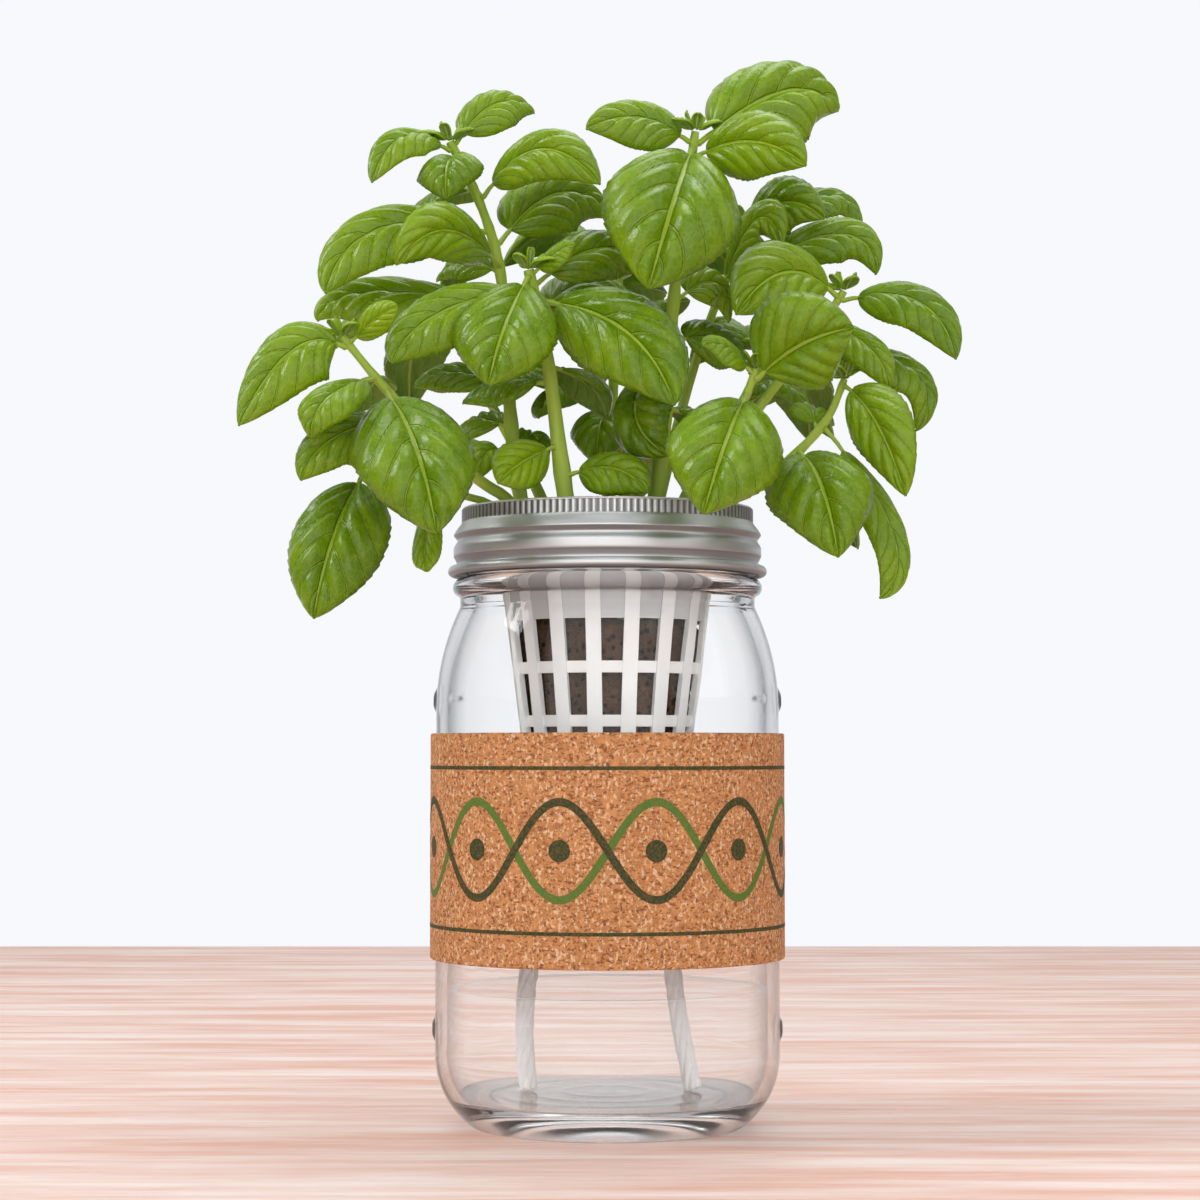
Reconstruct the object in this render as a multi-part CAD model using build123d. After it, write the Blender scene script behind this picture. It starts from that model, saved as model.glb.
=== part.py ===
from build123d import *
import os
from math import acos, asin, cos, pi, radians, sin, tan

# Hydroponic jar planter: a glass jar with a screw band, a net cup hung in its mouth, two wicks that reach
# down to the water, a sponge plug in the cup, and a basil plant that grows from the plug.
# Millimetres, +Z up, front at -Y, origin at the middle of the jar's foot.

# Jar
JAR_DIA = 97.0
JAR_HEIGHT = 172.0
JAR_WALL = 3.5
BASE_THICKNESS = 9.0
HEEL_RADIUS = 24.0
HEEL_HEIGHT = 20.0
FOOT_RING_WIDTH = 4.5
FOOT_RECESS = 1.4
SHOULDER_DROP = 55.5
SHOULDER_RADIUS = 67.0
NECK_DIA = 83.6
MOUTH_DIA = 76.0
FINISH_DIA = 80.2
LIP_ROUND = 1.2
BEAD_DIA = 87.8
BEAD_TOP_DROP = 18.2
BEAD_HEIGHT = 5.3

# Screw thread on the jar
THREAD_DEPTH = 1.3
THREAD_PITCH = 5.08
THREAD_TURNS = 1.4
THREAD_TOP_DROP = 8.6
THREAD_ROOT_HEIGHT = 3.2
THREAD_CREST_HEIGHT = 1.4
THREAD_STEPS_PER_TURN = 28

# Screw band
BAND_SHEET = 0.5
BAND_HEIGHT = 19.6
BAND_OPENING_DIA = 77.0
BAND_THREAD_CLEARANCE = 0.6
BAND_SEAT_GAP = 0.2
KNURL_COUNT = 136
KNURL_DEPTH = 0.35
KNURL_HEIGHT = 4.0
KNURL_SETBACK = 1.1
BAND_BULGE = 1.2
BAND_SHOULDER_HEIGHT = 3.5
BAND_WAIST_HEIGHT = 3.0
BAND_RIB_HEIGHT = 3.5
CURL_RADIUS = 1.5

# Net cup
CUP_MOUTH_DIA = 65.2
CUP_TAPER_DEG = 7.35
CUP_DEPTH = 76.0
CUP_WALL = 1.6
CUP_FLOOR = 1.6
FLANGE_THICKNESS = 1.2
FLANGE_BAND_CLEARANCE = 0.6
SLAT_COUNT = 17
SLAT_WIDTH = 4.2
SLAT_RELIEF = 0.8
SLAT_TOP_DROP = 6.0
SLAT_TURN_DEG = -7.9
RING_HEIGHT = 3.2
RING_PITCH = 14.7
WINDOW_ROWS = 3
COLLAR_DEPTH = 30.8

# Growing plug
PLUG_CLEARANCE = 0.4
PLUG_TOP_DROP = 31.0
PLUG_EDGE_ROUND = 2.0

# Wicks: points from the cup's floor down to the jar's floor, each as a shift from the hole in the floor
WICK_DIA = 5.2
WICK_HOLE_CLEARANCE = 0.3
WICK_HOLE_OFFSET = 15.0
WICK_FLOOR_GAP = 0.8
WICK_BEND_SHARE = 0.45
WICK_RUNS = {
    "wick_left": (-1, [(0.0, 0.0, 0.0), (0.0, 0.0, 0.17), (2.4, 0.9, 0.36), (6.7, 1.0, 0.57),
                       (8.4, 0.4, 0.75), (8.2, -0.6, 0.89), (7.2, -1.2, 1.0)]),
    "wick_right": (1, [(0.0, 0.0, 0.0), (0.0, 0.0, 0.17), (1.0, 1.0, 0.36), (2.9, 1.1, 0.57),
                       (4.8, 0.6, 0.75), (7.2, 0.1, 0.89), (9.0, -0.8, 1.0)]),
}

# Cork label
LABEL_THICKNESS = 1.4
LABEL_HEIGHT = 63.0
LABEL_BOTTOM = 47.0
LABEL_GLUE = 0.1
LABEL_SEAM = 2.0

# Basil leaves: shape shared by all of them
LEAF_THICKNESS = 0.6
LEAF_DOME = 0.22
PETIOLE_HALF_WIDTH = 0.6
PETIOLE_GAP = 0.5
STEM_MARGIN = 0.8
# Half width along the leaf, from the stem to the tip, as shares of the leaf's length and half width
LEAF_OUTLINE = [(0.0, 0.0), (0.08, 0.1), (0.13, 0.55), (0.22, 0.8), (0.4, 1.0), (0.62, 0.92), (0.84, 0.57),
                (1.0, 0.0)]

# Basil shoots. Each has its radius at the foot and at the top, its foot as a share of the plug's top, where
# it leaves the cup as a share of the cup's mouth, its further points, and its leaves. Points are (x, y,
# height over the jar's lip). A leaf has its height on the stem, a point at its middle, its tip, its width
# and how far its upper face leans to the front.
SHOOTS = {
    "tall_left": (2.4, 1.1, (-0.52, 0.08), (-0.92, 0.1),
                  [(-29, 3, 45), (-30, 2, 71), (-37, 0, 92), (-45, -2, 107)],
                  [(105, (-58, -10, 106), (-66, -18, 92), 18, 35),
                   (106, (-32, 4, 119), (-21, 10, 118), 18, 40),
                   (102.5, (-45, -15, 97), (-45, -19, 87), 20, 0),
                   (94, (-47, 12, 94), (-58, 18, 90), 18, 65),
                   (91, (-19, -14, 102), (-2, -20, 91), 20, 45),
                   (78, (-14, 14, 95), (2, 20, 89), 25, 65),
                   (82, (-65, -8, 80), (-79, -16, 61), 27, 55),
                   (72, (-45, -26, 77), (-58, -33, 66), 17, 60),
                   (60, (-68, 4, 64), (-83, 2, 56), 23, 55),
                   (70, (-41, 14, 75), (-50, 18, 70), 15, 65),
                   (38, (-45, 10, 42), (-56, 12, 38), 15, 60),
                   (10, (-33, -4, 18), (-36, -6, 10), 14, 30),
                   (26, (-38, 14, 28), (-44, 18, 22), 19, 40)]),
    "low_left": (2.2, 1, (-0.6, -0.36), (-0.86, -0.46),
                 [(-38, -19, 9), (-60, -25, 31), (-73, -28, 47)],
                 [(45, (-86, -34, 42), (-100, -40, 21), 25, 45),
                  (36, (-75, -50, 27), (-79, -54, 16), 16, 0),
                  (45, (-63, -36, 51), (-57, -39, 54), 9, 20),
                  (32, (-51, -54, 13), (-45, -62, -10), 34, 0),
                  (26, (-74, -37, 18), (-83, -41, 6), 17, 35),
                  (36, (-67, -12, 35), (-74, -8, 28), 14, 50)]),
    "front_left": (3, 1.3, (-0.28, -0.48), (-0.43, -0.5),
                   [(-17, -17, 47), (-22, -20, 67)],
                   [(65, (-28, -42, 47), (-32, -48, 31), 29, 0),
                    (62, (-47, -27, 53), (-59, -33, 39), 24, 60),
                    (66, (-14, -24, 71), (-9, -26, 73), 10, 30),
                    (58, (5, -36, 47), (18, -44, 26), 29, 50),
                    (36, (-29, -10, 36), (-41, -8, 31), 20, 60),
                    (18, (-24, -28, 12), (-30, -33, 6), 15, 30),
                    (10, (2, -22, 11), (11, -26, 4), 17, 45),
                    (63, (-1, -8, 75), (13, -2, 68), 20, 60),
                    (56, (-4, 6, 68), (7, 12, 63), 20, 60),
                    (40, (-5, -2, 37), (0, 2, 28), 18, 20)]),
    "tall_right": (2.8, 1.1, (0.32, -0.12), (0.5, -0.14),
                   [(17, -4, 35), (19, -4, 66), (25, -6, 109)],
                   [(106, (9, -9, 112), (-6, -14, 108), 22, 62),
                    (106, (51, 2, 122), (67, 8, 118), 33, 55),
                    (102, (41, -20, 103), (55, -26, 95), 21, 55),
                    (104, (18, -34, 83), (11, -42, 58), 40, 0),
                    (44, (8, -16, 28), (17, -20, 15), 25, 30),
                    (62, (31, 4, 67), (35, 6, 56), 16, 60),
                    (50, (33, 8, 51), (41, 14, 44), 18, 60),
                    (60, (16, 8, 61), (12, 14, 53), 15, 40),
                    (30, (28, 8, 28), (34, 12, 20), 18, 30)]),
    "far_right": (2.2, 1, (0.56, 0.2), (0.86, 0.25),
                  [(42, 8, 30), (58, 6, 50), (68, 4, 65)],
                  [(63, (50, -8, 68), (36, -16, 55), 26, 60),
                   (63, (88, -6, 60), (98, -12, 43), 20, 45),
                   (56, (74, -10, 46), (79, -12, 35), 15, 0),
                   (50, (87, 2, 41), (88, 0, 24), 20, 35)]),
    "front_right": (2.2, 1, (0.56, -0.48), (0.78, -0.6),
                    [(33, -24, 18), (41, -28, 38)],
                    [(36, (53, -36, 44), (67, -38, 48), 30, 60),
                     (37, (32, -34, 43), (26, -38, 43), 13, 40),
                     (31, (31, -56, 14), (25, -63, -5), 32, 0)]),
    "low_right": (2, 0.9, (0.68, -0.16), (0.96, -0.25),
                  [(45, -10, 9), (62, -9, 25), (67, -7, 38)],
                  [(17, (58, -36, 5), (62, -44, -15), 30, 0),
                   (24, (79, -20, -7), (75, -24, -25), 16, 40),
                   (36, (75, -23, 23), (82, -27, 3), 19, 40),
                   (23, (59, 0, 30), (65, 4, 22), 14, 50)]),
    "side_left": (1.8, 0.9, (-0.68, -0.12), (-0.98, -0.18),
                  [(-45, -8, 6), (-62, -13, 10), (-70, -16, 12)],
                  [(11.5, (-75, -30, -9), (-80, -34, -31), 29, 0),
                   (7, (-50, -29, -11), (-49, -31, -18), 9, 0)]),
    "back_tall": (2, 1, (0.28, 0.44), (0.5, 0.57),
                  [(26, 22, 50), (42, 22, 88)],
                  [(84, (51, 12, 92), (63, 10, 87), 18, 60),
                   (87, (66, 30, 97), (75, 30, 87), 18, 45),
                   (72, (67, 14, 83), (78, 12, 71), 18, 55),
                   (66, (43, 8, 86), (50, 4, 78), 16, 65)]),
    "back_left": (2.2, 1, (-0.4, 0.44), (-0.57, 0.64),
                  [(-34, 34, 35), (-48, 44, 62)],
                  [(58, (-66, 50, 68), (-88, 54, 52), 27, 35),
                   (55, (-58, 64, 60), (-62, 84, 40), 28, 0),
                   (58, (-34, 56, 72), (-20, 66, 62), 22, 0),
                   (60, (-47, 42, 74), (-44, 38, 84), 11, 0),
                   (22, (-56, 48, 22), (-74, 58, 4), 28, 0),
                   (40, (-26, 26, 46), (-16, 18, 38), 22, 0),
                   (20, (-22, 24, 25), (-18, 20, 17), 20, 0)]),
    "back_middle": (2.4, 1, (-0.04, 0.64), (0.0, 0.79),
                    [(2, 38, 45), (4, 46, 82)],
                    [(78, (-14, 56, 92), (-32, 62, 82), 24, 0),
                     (77, (24, 58, 90), (42, 66, 78), 24, 0),
                     (72, (4, 70, 78), (4, 90, 54), 30, 0),
                     (80, (9, 40, 91), (14, 34, 102), 12, 0),
                     (26, (6, 62, 30), (8, 86, 10), 30, 0),
                     (64, (-12, 34, 70), (-22, 26, 62), 22, 0),
                     (32, (-2, 20, 28), (-3, 16, 16), 20, 0),
                     (46, (-14, 24, 38), (-20, 18, 30), 22, 0)]),
    "back_right": (2.2, 1, (0.52, 0.56), (0.68, 0.68),
                   [(36, 34, 30), (50, 42, 54)],
                   [(50, (70, 48, 58), (90, 52, 42), 27, 0),
                    (47, (58, 62, 50), (64, 82, 30), 28, 0),
                    (50, (38, 56, 62), (26, 68, 52), 22, 0),
                    (52, (52, 40, 66), (56, 36, 76), 11, 0),
                    (18, (58, 42, 14), (76, 50, -6), 27, 0),
                    (32, (50, 26, 40), (60, 20, 30), 18, 0)]),
}

# Places worked out from the sizes above
JAR_R = JAR_DIA / 2
NECK_R = NECK_DIA / 2
MOUTH_R = MOUTH_DIA / 2
FINISH_R = FINISH_DIA / 2
BEAD_R = BEAD_DIA / 2
CREST_R = FINISH_R + THREAD_DEPTH
BEAD_TOP_Z = JAR_HEIGHT - BEAD_TOP_DROP
SHOULDER_Z = JAR_HEIGHT - SHOULDER_DROP
FLANGE_TOP_Z = JAR_HEIGHT + FLANGE_THICKNESS
BAND_TOP_Z = FLANGE_TOP_Z + BAND_SEAT_GAP + BAND_SHEET
WAIST_R = CREST_R + BAND_THREAD_CLEARANCE + BAND_SHEET
BULGE_R = WAIST_R + BAND_BULGE
KNURL_R = WAIST_R - KNURL_SETBACK
CUP_MOUTH_R = CUP_MOUTH_DIA / 2
CUP_SLOPE = tan(radians(CUP_TAPER_DEG))
CUP_BOTTOM_Z = JAR_HEIGHT - CUP_DEPTH
CUP_FLOOR_Z = CUP_BOTTOM_Z + CUP_FLOOR
PLUG_TOP_Z = JAR_HEIGHT - PLUG_TOP_DROP
WICK_R = WICK_DIA / 2


def cup_outside(z):
    return CUP_MOUTH_R - (JAR_HEIGHT - z) * CUP_SLOPE


def cup_inside(z):
    return cup_outside(z) - CUP_WALL


def turned(profile):
    """Solid made by turning a closed profile of (radius, height) edges about the jar's axis."""
    return revolve(make_face(profile), Axis.Z)


def ring_profile(points):
    return Polyline([(r, 0, z) for r, z in points], close=True)


def section_arc(centre, radius, start, end):
    """Arc of a section about a centre (radius, height), between two angles from the outward direction."""
    turns = (start, (start + end) / 2, end)
    return ThreePointArc(*[(centre[0] + radius * cos(a), 0, centre[1] + radius * sin(a)) for a in turns])


def glass_jar():
    """Jar turned from its section, with a foot ring, a rounded heel, a shoulder and a screw finish."""
    wall_r = JAR_R - JAR_WALL
    heel = (JAR_R - HEEL_RADIUS, HEEL_HEIGHT)
    inner_heel = HEEL_RADIUS - JAR_WALL
    foot_turn = asin(HEEL_HEIGHT / HEEL_RADIUS)
    floor_turn = asin((HEEL_HEIGHT - BASE_THICKNESS) / inner_heel)
    foot_r = heel[0] + HEEL_RADIUS * cos(foot_turn)
    floor_r = heel[0] + inner_heel * cos(floor_turn)
    shoulder = (JAR_R - SHOULDER_RADIUS, SHOULDER_Z)
    inner_shoulder = SHOULDER_RADIUS - JAR_WALL
    neck_turn = acos((NECK_R - shoulder[0]) / SHOULDER_RADIUS)
    throat_turn = acos((MOUTH_R - shoulder[0]) / inner_shoulder)
    neck_z = SHOULDER_Z + SHOULDER_RADIUS * sin(neck_turn)
    throat_z = SHOULDER_Z + inner_shoulder * sin(throat_turn)
    bead_low = BEAD_TOP_Z - BEAD_HEIGHT
    bead_z = BEAD_TOP_Z - BEAD_HEIGHT / 2
    ring_in = foot_r - FOOT_RING_WIDTH
    lip_low = JAR_HEIGHT - LIP_ROUND
    section = Curve() + [
        Line((0, 0, FOOT_RECESS), (ring_in - FOOT_RECESS, 0, FOOT_RECESS)),
        Line((ring_in - FOOT_RECESS, 0, FOOT_RECESS), (ring_in, 0, 0)),
        Line((ring_in, 0, 0), (foot_r, 0, 0)),
        section_arc(heel, HEEL_RADIUS, -foot_turn, 0),
        Line((JAR_R, 0, HEEL_HEIGHT), (JAR_R, 0, SHOULDER_Z)),
        section_arc(shoulder, SHOULDER_RADIUS, 0, neck_turn),
        Line((NECK_R, 0, neck_z), (NECK_R, 0, bead_low)),
        ThreePointArc((NECK_R, 0, bead_low), (BEAD_R, 0, bead_z), (FINISH_R, 0, BEAD_TOP_Z)),
        Line((FINISH_R, 0, BEAD_TOP_Z), (FINISH_R, 0, lip_low)),
        Line((FINISH_R, 0, lip_low), (FINISH_R - LIP_ROUND, 0, JAR_HEIGHT)),
        Line((FINISH_R - LIP_ROUND, 0, JAR_HEIGHT), (MOUTH_R, 0, JAR_HEIGHT)),
        Line((MOUTH_R, 0, JAR_HEIGHT), (MOUTH_R, 0, throat_z)),
        section_arc(shoulder, inner_shoulder, throat_turn, 0),
        Line((wall_r, 0, SHOULDER_Z), (wall_r, 0, HEEL_HEIGHT)),
        section_arc(heel, inner_heel, 0, -floor_turn),
        Line((floor_r, 0, BASE_THICKNESS), (0, 0, BASE_THICKNESS)),
        Line((0, 0, BASE_THICKNESS), (0, 0, FOOT_RECESS)),
    ]
    return turned(section) + screw_thread()


def screw_thread():
    """Ridge that winds down round the finish and runs out into it at both ends."""
    steps = round(THREAD_TURNS * THREAD_STEPS_PER_TURN)
    bite = JAR_WALL / 4
    sections = []
    for step in range(steps + 1):
        angle = 2 * pi * step / THREAD_STEPS_PER_TURN
        z = JAR_HEIGHT - THREAD_TOP_DROP - THREAD_PITCH * step / THREAD_STEPS_PER_TURN
        run_out = step in (0, steps)
        crest = FINISH_R - bite / 2 if run_out else CREST_R
        corners = [(FINISH_R - bite, z + THREAD_ROOT_HEIGHT / 2), (crest, z + THREAD_CREST_HEIGHT / 2),
                   (crest, z - THREAD_CREST_HEIGHT / 2), (FINISH_R - bite, z - THREAD_ROOT_HEIGHT / 2)]
        sections.append(Wire.make_polygon([(r * cos(angle), r * sin(angle), h) for r, h in corners]))
    return Solid.make_loft(sections, ruled=True)


def screw_band():
    """Rolled metal ring: knurled edge, cone, waist, rib and a curled lower edge."""
    top = BAND_TOP_Z
    knurl_low = top - BAND_SHEET - KNURL_HEIGHT
    cone_low = knurl_low - BAND_SHOULDER_HEIGHT
    rib_top = cone_low - BAND_WAIST_HEIGHT
    curl_z = top - BAND_HEIGHT + CURL_RADIUS
    curl_r = WAIST_R + CURL_RADIUS - BAND_SHEET / 2
    outside = [
        (KNURL_R, knurl_low),
        (BULGE_R, cone_low),
        (WAIST_R, cone_low - BAND_WAIST_HEIGHT / 2),
        (BULGE_R, rib_top),
        (BULGE_R, rib_top - BAND_RIB_HEIGHT),
        (WAIST_R, curl_z + CURL_RADIUS),
        (WAIST_R, curl_z),
    ]
    skirt_in = [(r - BAND_SHEET, z) for r, z in reversed(outside)]
    skirt = turned(ring_profile(outside + skirt_in))
    curl = Torus(curl_r, CURL_RADIUS).moved(Location((0, 0, curl_z)))
    rim_face = Polygon(*knurl_points(), align=None) - Circle(KNURL_R - KNURL_DEPTH - BAND_SHEET)
    edge = extrude(Plane.XY.offset(knurl_low) * rim_face, KNURL_HEIGHT)
    lid_face = Circle(KNURL_R - KNURL_DEPTH) - Circle(BAND_OPENING_DIA / 2)
    lid = extrude(Plane.XY.offset(top - BAND_SHEET) * lid_face, BAND_SHEET)
    return skirt + curl + edge + lid


def knurl_points():
    points = []
    for tooth in range(KNURL_COUNT):
        for half, radius in ((0, KNURL_R), (0.5, KNURL_R - KNURL_DEPTH)):
            angle = 2 * pi * (tooth + half) / KNURL_COUNT
            points.append((radius * cos(angle), radius * sin(angle)))
    return points


def net_cup():
    """Tapered basket: a collar, three rows of windows between raised slats, a floor with two wick holes."""
    rim_z = JAR_HEIGHT
    flange_r = KNURL_R - KNURL_DEPTH - BAND_SHEET - FLANGE_BAND_CLEARANCE
    shell = turned(ring_profile([
        (0, CUP_BOTTOM_Z), (cup_outside(CUP_BOTTOM_Z), CUP_BOTTOM_Z), (CUP_MOUTH_R, rim_z),
        (flange_r, rim_z), (flange_r, FLANGE_TOP_Z), (cup_inside(FLANGE_TOP_Z), FLANGE_TOP_Z),
        (cup_inside(CUP_FLOOR_Z), CUP_FLOOR_Z), (0, CUP_FLOOR_Z)]))
    cutters = []
    collar_z = rim_z - COLLAR_DEPTH
    for slot in range(SLAT_COUNT):
        bearing = -90 + SLAT_TURN_DEG + (slot + 0.5) * 360 / SLAT_COUNT
        for row in range(WINDOW_ROWS):
            high = collar_z - row * RING_PITCH
            cutters.append(window(bearing, high - RING_PITCH + RING_HEIGHT, high, 0))
        relief_low = collar_z - WINDOW_ROWS * RING_PITCH + RING_HEIGHT
        cutters.append(window(bearing, relief_low, rim_z - SLAT_TOP_DROP, CUP_WALL - SLAT_RELIEF))
    for side in (-1, 1):
        hole = Cylinder(WICK_R + WICK_HOLE_CLEARANCE, 4 * CUP_FLOOR)
        cutters.append(hole.moved(Location((side * WICK_HOLE_OFFSET, 0, CUP_BOTTOM_Z))))
    return shell - cutters


def window(bearing, low, high, skin):
    """Cutter between two slats that leaves a skin of the wall, or goes right through where the skin is 0."""
    wires = []
    for z in (low, high):
        half = (2 * pi * cup_outside(z) / SLAT_COUNT - SLAT_WIDTH) / 2
        near = cup_inside(z) + skin if skin else cup_inside(z) - CUP_WALL
        far = cup_outside(z) + CUP_WALL
        wires.append(Wire.make_polygon([(near, -half, z), (far, -half, z), (far, half, z), (near, half, z)]))
    return Solid.make_loft(wires, ruled=True).rotate(Axis.Z, bearing)


def growing_plug():
    low_r = cup_inside(CUP_FLOOR_Z) - PLUG_CLEARANCE
    top_r = cup_inside(PLUG_TOP_Z) - PLUG_CLEARANCE
    return turned(ring_profile([
        (0, CUP_FLOOR_Z), (low_r, CUP_FLOOR_Z),
        (top_r - PLUG_EDGE_ROUND * CUP_SLOPE, PLUG_TOP_Z - PLUG_EDGE_ROUND),
        (top_r - PLUG_EDGE_ROUND, PLUG_TOP_Z), (0, PLUG_TOP_Z)]))


def wick(name):
    """Limp cotton cord: straight runs joined by arcs as large as the runs allow."""
    side, runs = WICK_RUNS[name]
    top = CUP_FLOOR_Z
    length = top - BASE_THICKNESS - WICK_FLOOR_GAP
    points = [Vector(side * (WICK_HOLE_OFFSET + out), back, top - share * length)
              for out, back, share in runs]
    radii = []
    for before, here, after in zip(points, points[1:], points[2:]):
        turn = (here - before).get_angle(after - here)
        shorter = min((here - before).length, (after - here).length)
        radii.append(WICK_BEND_SHARE * shorter / tan(radians(turn / 2)))
    path = FilletPolyline(*points, radius=radii)
    start = Plane(origin=points[0], z_dir=points[1] - points[0])
    cord = sweep(start * Circle(WICK_R), path=path)
    print(name, "length", round(path.length, 1), "radii", [round(r) for r in radii],
          "volume share", round(cord.volume / (pi * WICK_R ** 2 * path.length), 4))
    return cord


def cork_label():
    """Thin sheet bent round the jar, with its seam at the back."""
    low_r = JAR_R + LABEL_GLUE
    sheet = Circle(low_r + LABEL_THICKNESS) - Circle(low_r)
    ring = extrude(Plane.XY.offset(LABEL_BOTTOM) * sheet, LABEL_HEIGHT)
    seam = Box(LABEL_SEAM, 4 * LABEL_THICKNESS, 2 * LABEL_HEIGHT)
    return ring - seam.moved(Location((0, low_r, LABEL_BOTTOM + LABEL_HEIGHT / 2)))


def over_lip(point):
    x, y, up = point
    return Vector(x, y, JAR_HEIGHT + up)


def stem_points(shoot):
    """Middle line of a stem: its foot on the plug, the cup's mouth, then its points over the jar's lip."""
    foot_radius, top_radius, foot, mouth, further, leaves = SHOOTS[shoot]
    foot_reach = cup_inside(PLUG_TOP_Z) - PLUG_CLEARANCE - PLUG_EDGE_ROUND - foot_radius
    mouth_reach = cup_inside(JAR_HEIGHT) - foot_radius - STEM_MARGIN
    points = [Vector(foot[0] * foot_reach, foot[1] * foot_reach, PLUG_TOP_Z),
              Vector(mouth[0] * mouth_reach, mouth[1] * mouth_reach, BAND_TOP_Z)]
    return points + [over_lip(point) for point in further]


def stem_radius(shoot, z):
    foot_radius, top_radius = SHOOTS[shoot][:2]
    points = stem_points(shoot)
    share = (z - points[0].Z) / (points[-1].Z - points[0].Z)
    return foot_radius + (top_radius - foot_radius) * share


def stem(shoot):
    points = stem_points(shoot)
    sections = []
    for i, here in enumerate(points):
        along = Vector(0, 0, 1)
        if i > 0:
            before = (here - points[i - 1]).normalized()
            after = (points[i + 1] - here).normalized() if i + 1 < len(points) else before
            along = (before + after).normalized()
        across = Vector(1, 0, 0) - along * along.X
        plane = Plane(origin=here, x_dir=across, z_dir=along)
        sections.append(plane * Circle(stem_radius(shoot, here.Z)))
    return loft(sections, ruled=True)


def on_stem(shoot, up):
    """Point on a stem's middle line at a height over the jar's lip, and the stem's direction there."""
    z = JAR_HEIGHT + up
    points = stem_points(shoot)
    for low, high in zip(points, points[1:]):
        if low.Z <= z <= high.Z:
            return low + (high - low) * ((z - low.Z) / (high.Z - low.Z)), (high - low).normalized()


def leaf(shoot, up, middle, tip, width, lean):
    """Leaf that leaves its stem, arches through its middle and bends to its tip, domed across."""
    root, along = on_stem(shoot, up)
    middle = over_lip(middle)
    tip = over_lip(tip)
    out = middle - root
    out = (out - along * out.dot(along)).normalized()
    base = root + out * (stem_radius(shoot, root.Z) + PETIOLE_GAP)
    control = middle * 2 - (base + tip) * 0.5
    rise = middle - (base + tip) * 0.5
    wires = []
    for u, share in LEAF_OUTLINE:
        centre = base * (1 - u) ** 2 + control * (2 * u * (1 - u)) + tip * u ** 2
        run = ((control - base) * (1 - u) + (tip - control) * u).normalized()
        normal = (rise - run * rise.dot(run)).normalized()
        side = run.cross(normal)
        front = side if side.Y < 0 else side * -1
        normal = normal * cos(radians(lean)) + front * sin(radians(lean))
        half = max(share * width / 2, PETIOLE_HALF_WIDTH)
        wires.append(leaf_section(centre, run.cross(normal), normal, half))
    return Solid.make_loft(wires, ruled=True)


def leaf_section(centre, side, normal, half):
    """Thin domed slice of a leaf, half its thickness to each side of the middle surface."""
    drop = normal * (half * LEAF_DOME)
    over = normal * (LEAF_THICKNESS / 2)
    left = centre - side * half - drop
    right = centre + side * half - drop
    return Wire([
        Edge.make_three_point_arc(left + over, centre + over, right + over),
        Edge.make_line(right + over, right - over),
        Edge.make_three_point_arc(right - over, centre - over, left - over),
        Edge.make_line(left - over, left + over),
    ])


def leaves(shoot):
    return Compound([leaf(shoot, *item) for item in SHOOTS[shoot][5]])


nodes = {
    "glass_jar": glass_jar(),
    "cork_label": cork_label(),
    "screw_band": screw_band(),
    "net_cup": net_cup(),
    "growing_plug": growing_plug(),
    "wick_left": wick("wick_left"),
    "wick_right": wick("wick_right"),
}
for shoot in SHOOTS:
    nodes["stem_" + shoot] = stem(shoot)
    nodes["leaves_" + shoot] = leaves(shoot)

os.makedirs("parts", exist_ok=True)
for name, shape in nodes.items():
    export_step(shape, "parts/" + name + ".step")
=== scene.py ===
"""Hydroponic jar planter: glass jar, metal band, white net cup, cork label, wicks and a basil plant."""
import random
from math import acos, asin, atan2, cos, degrees, exp, pi, radians, sin, sqrt, tan

import bpy
import numpy as np
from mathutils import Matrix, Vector, noise


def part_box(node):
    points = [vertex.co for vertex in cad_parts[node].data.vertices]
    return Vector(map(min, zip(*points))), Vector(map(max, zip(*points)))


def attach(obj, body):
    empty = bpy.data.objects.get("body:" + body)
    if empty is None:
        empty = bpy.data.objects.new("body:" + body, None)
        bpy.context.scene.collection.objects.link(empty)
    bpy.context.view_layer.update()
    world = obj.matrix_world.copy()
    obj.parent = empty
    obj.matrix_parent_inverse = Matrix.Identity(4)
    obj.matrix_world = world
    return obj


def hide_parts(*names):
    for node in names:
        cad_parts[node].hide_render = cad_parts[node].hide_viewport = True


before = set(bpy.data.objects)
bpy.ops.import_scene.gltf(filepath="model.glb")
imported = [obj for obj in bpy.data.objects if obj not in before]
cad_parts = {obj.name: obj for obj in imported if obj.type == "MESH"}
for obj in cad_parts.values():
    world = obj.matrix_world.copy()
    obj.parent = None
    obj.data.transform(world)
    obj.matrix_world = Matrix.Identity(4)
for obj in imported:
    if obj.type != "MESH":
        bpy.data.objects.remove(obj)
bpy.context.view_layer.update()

# Sizes are in millimetres and the scene is in metres
MM = 0.001

# Jar
JAR_R = 48.5
JAR_HEIGHT = 172.0
JAR_WALL = 3.5
BASE_THICKNESS = 9.0
HEEL_RADIUS = 24.0
HEEL_HEIGHT = 20.0
FOOT_RING_WIDTH = 4.5
FOOT_RECESS = 1.4
SHOULDER_Z = 116.5
SHOULDER_RADIUS = 67.0
NECK_R = 41.8
MOUTH_R = 38.0
FINISH_R = 40.1
BEAD_R = 43.9
BEAD_TOP_Z = 153.8
BEAD_HEIGHT = 5.3
THREAD_DEPTH = 1.3
THREAD_PITCH = 5.08
THREAD_TURNS = 1.4
THREAD_TOP_DROP = 8.6
THREAD_ROOT_HEIGHT = 3.2
THREAD_CREST_HEIGHT = 1.4
THREAD_RUN_OUT = 0.06
JAR_SEGMENTS = 288
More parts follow.
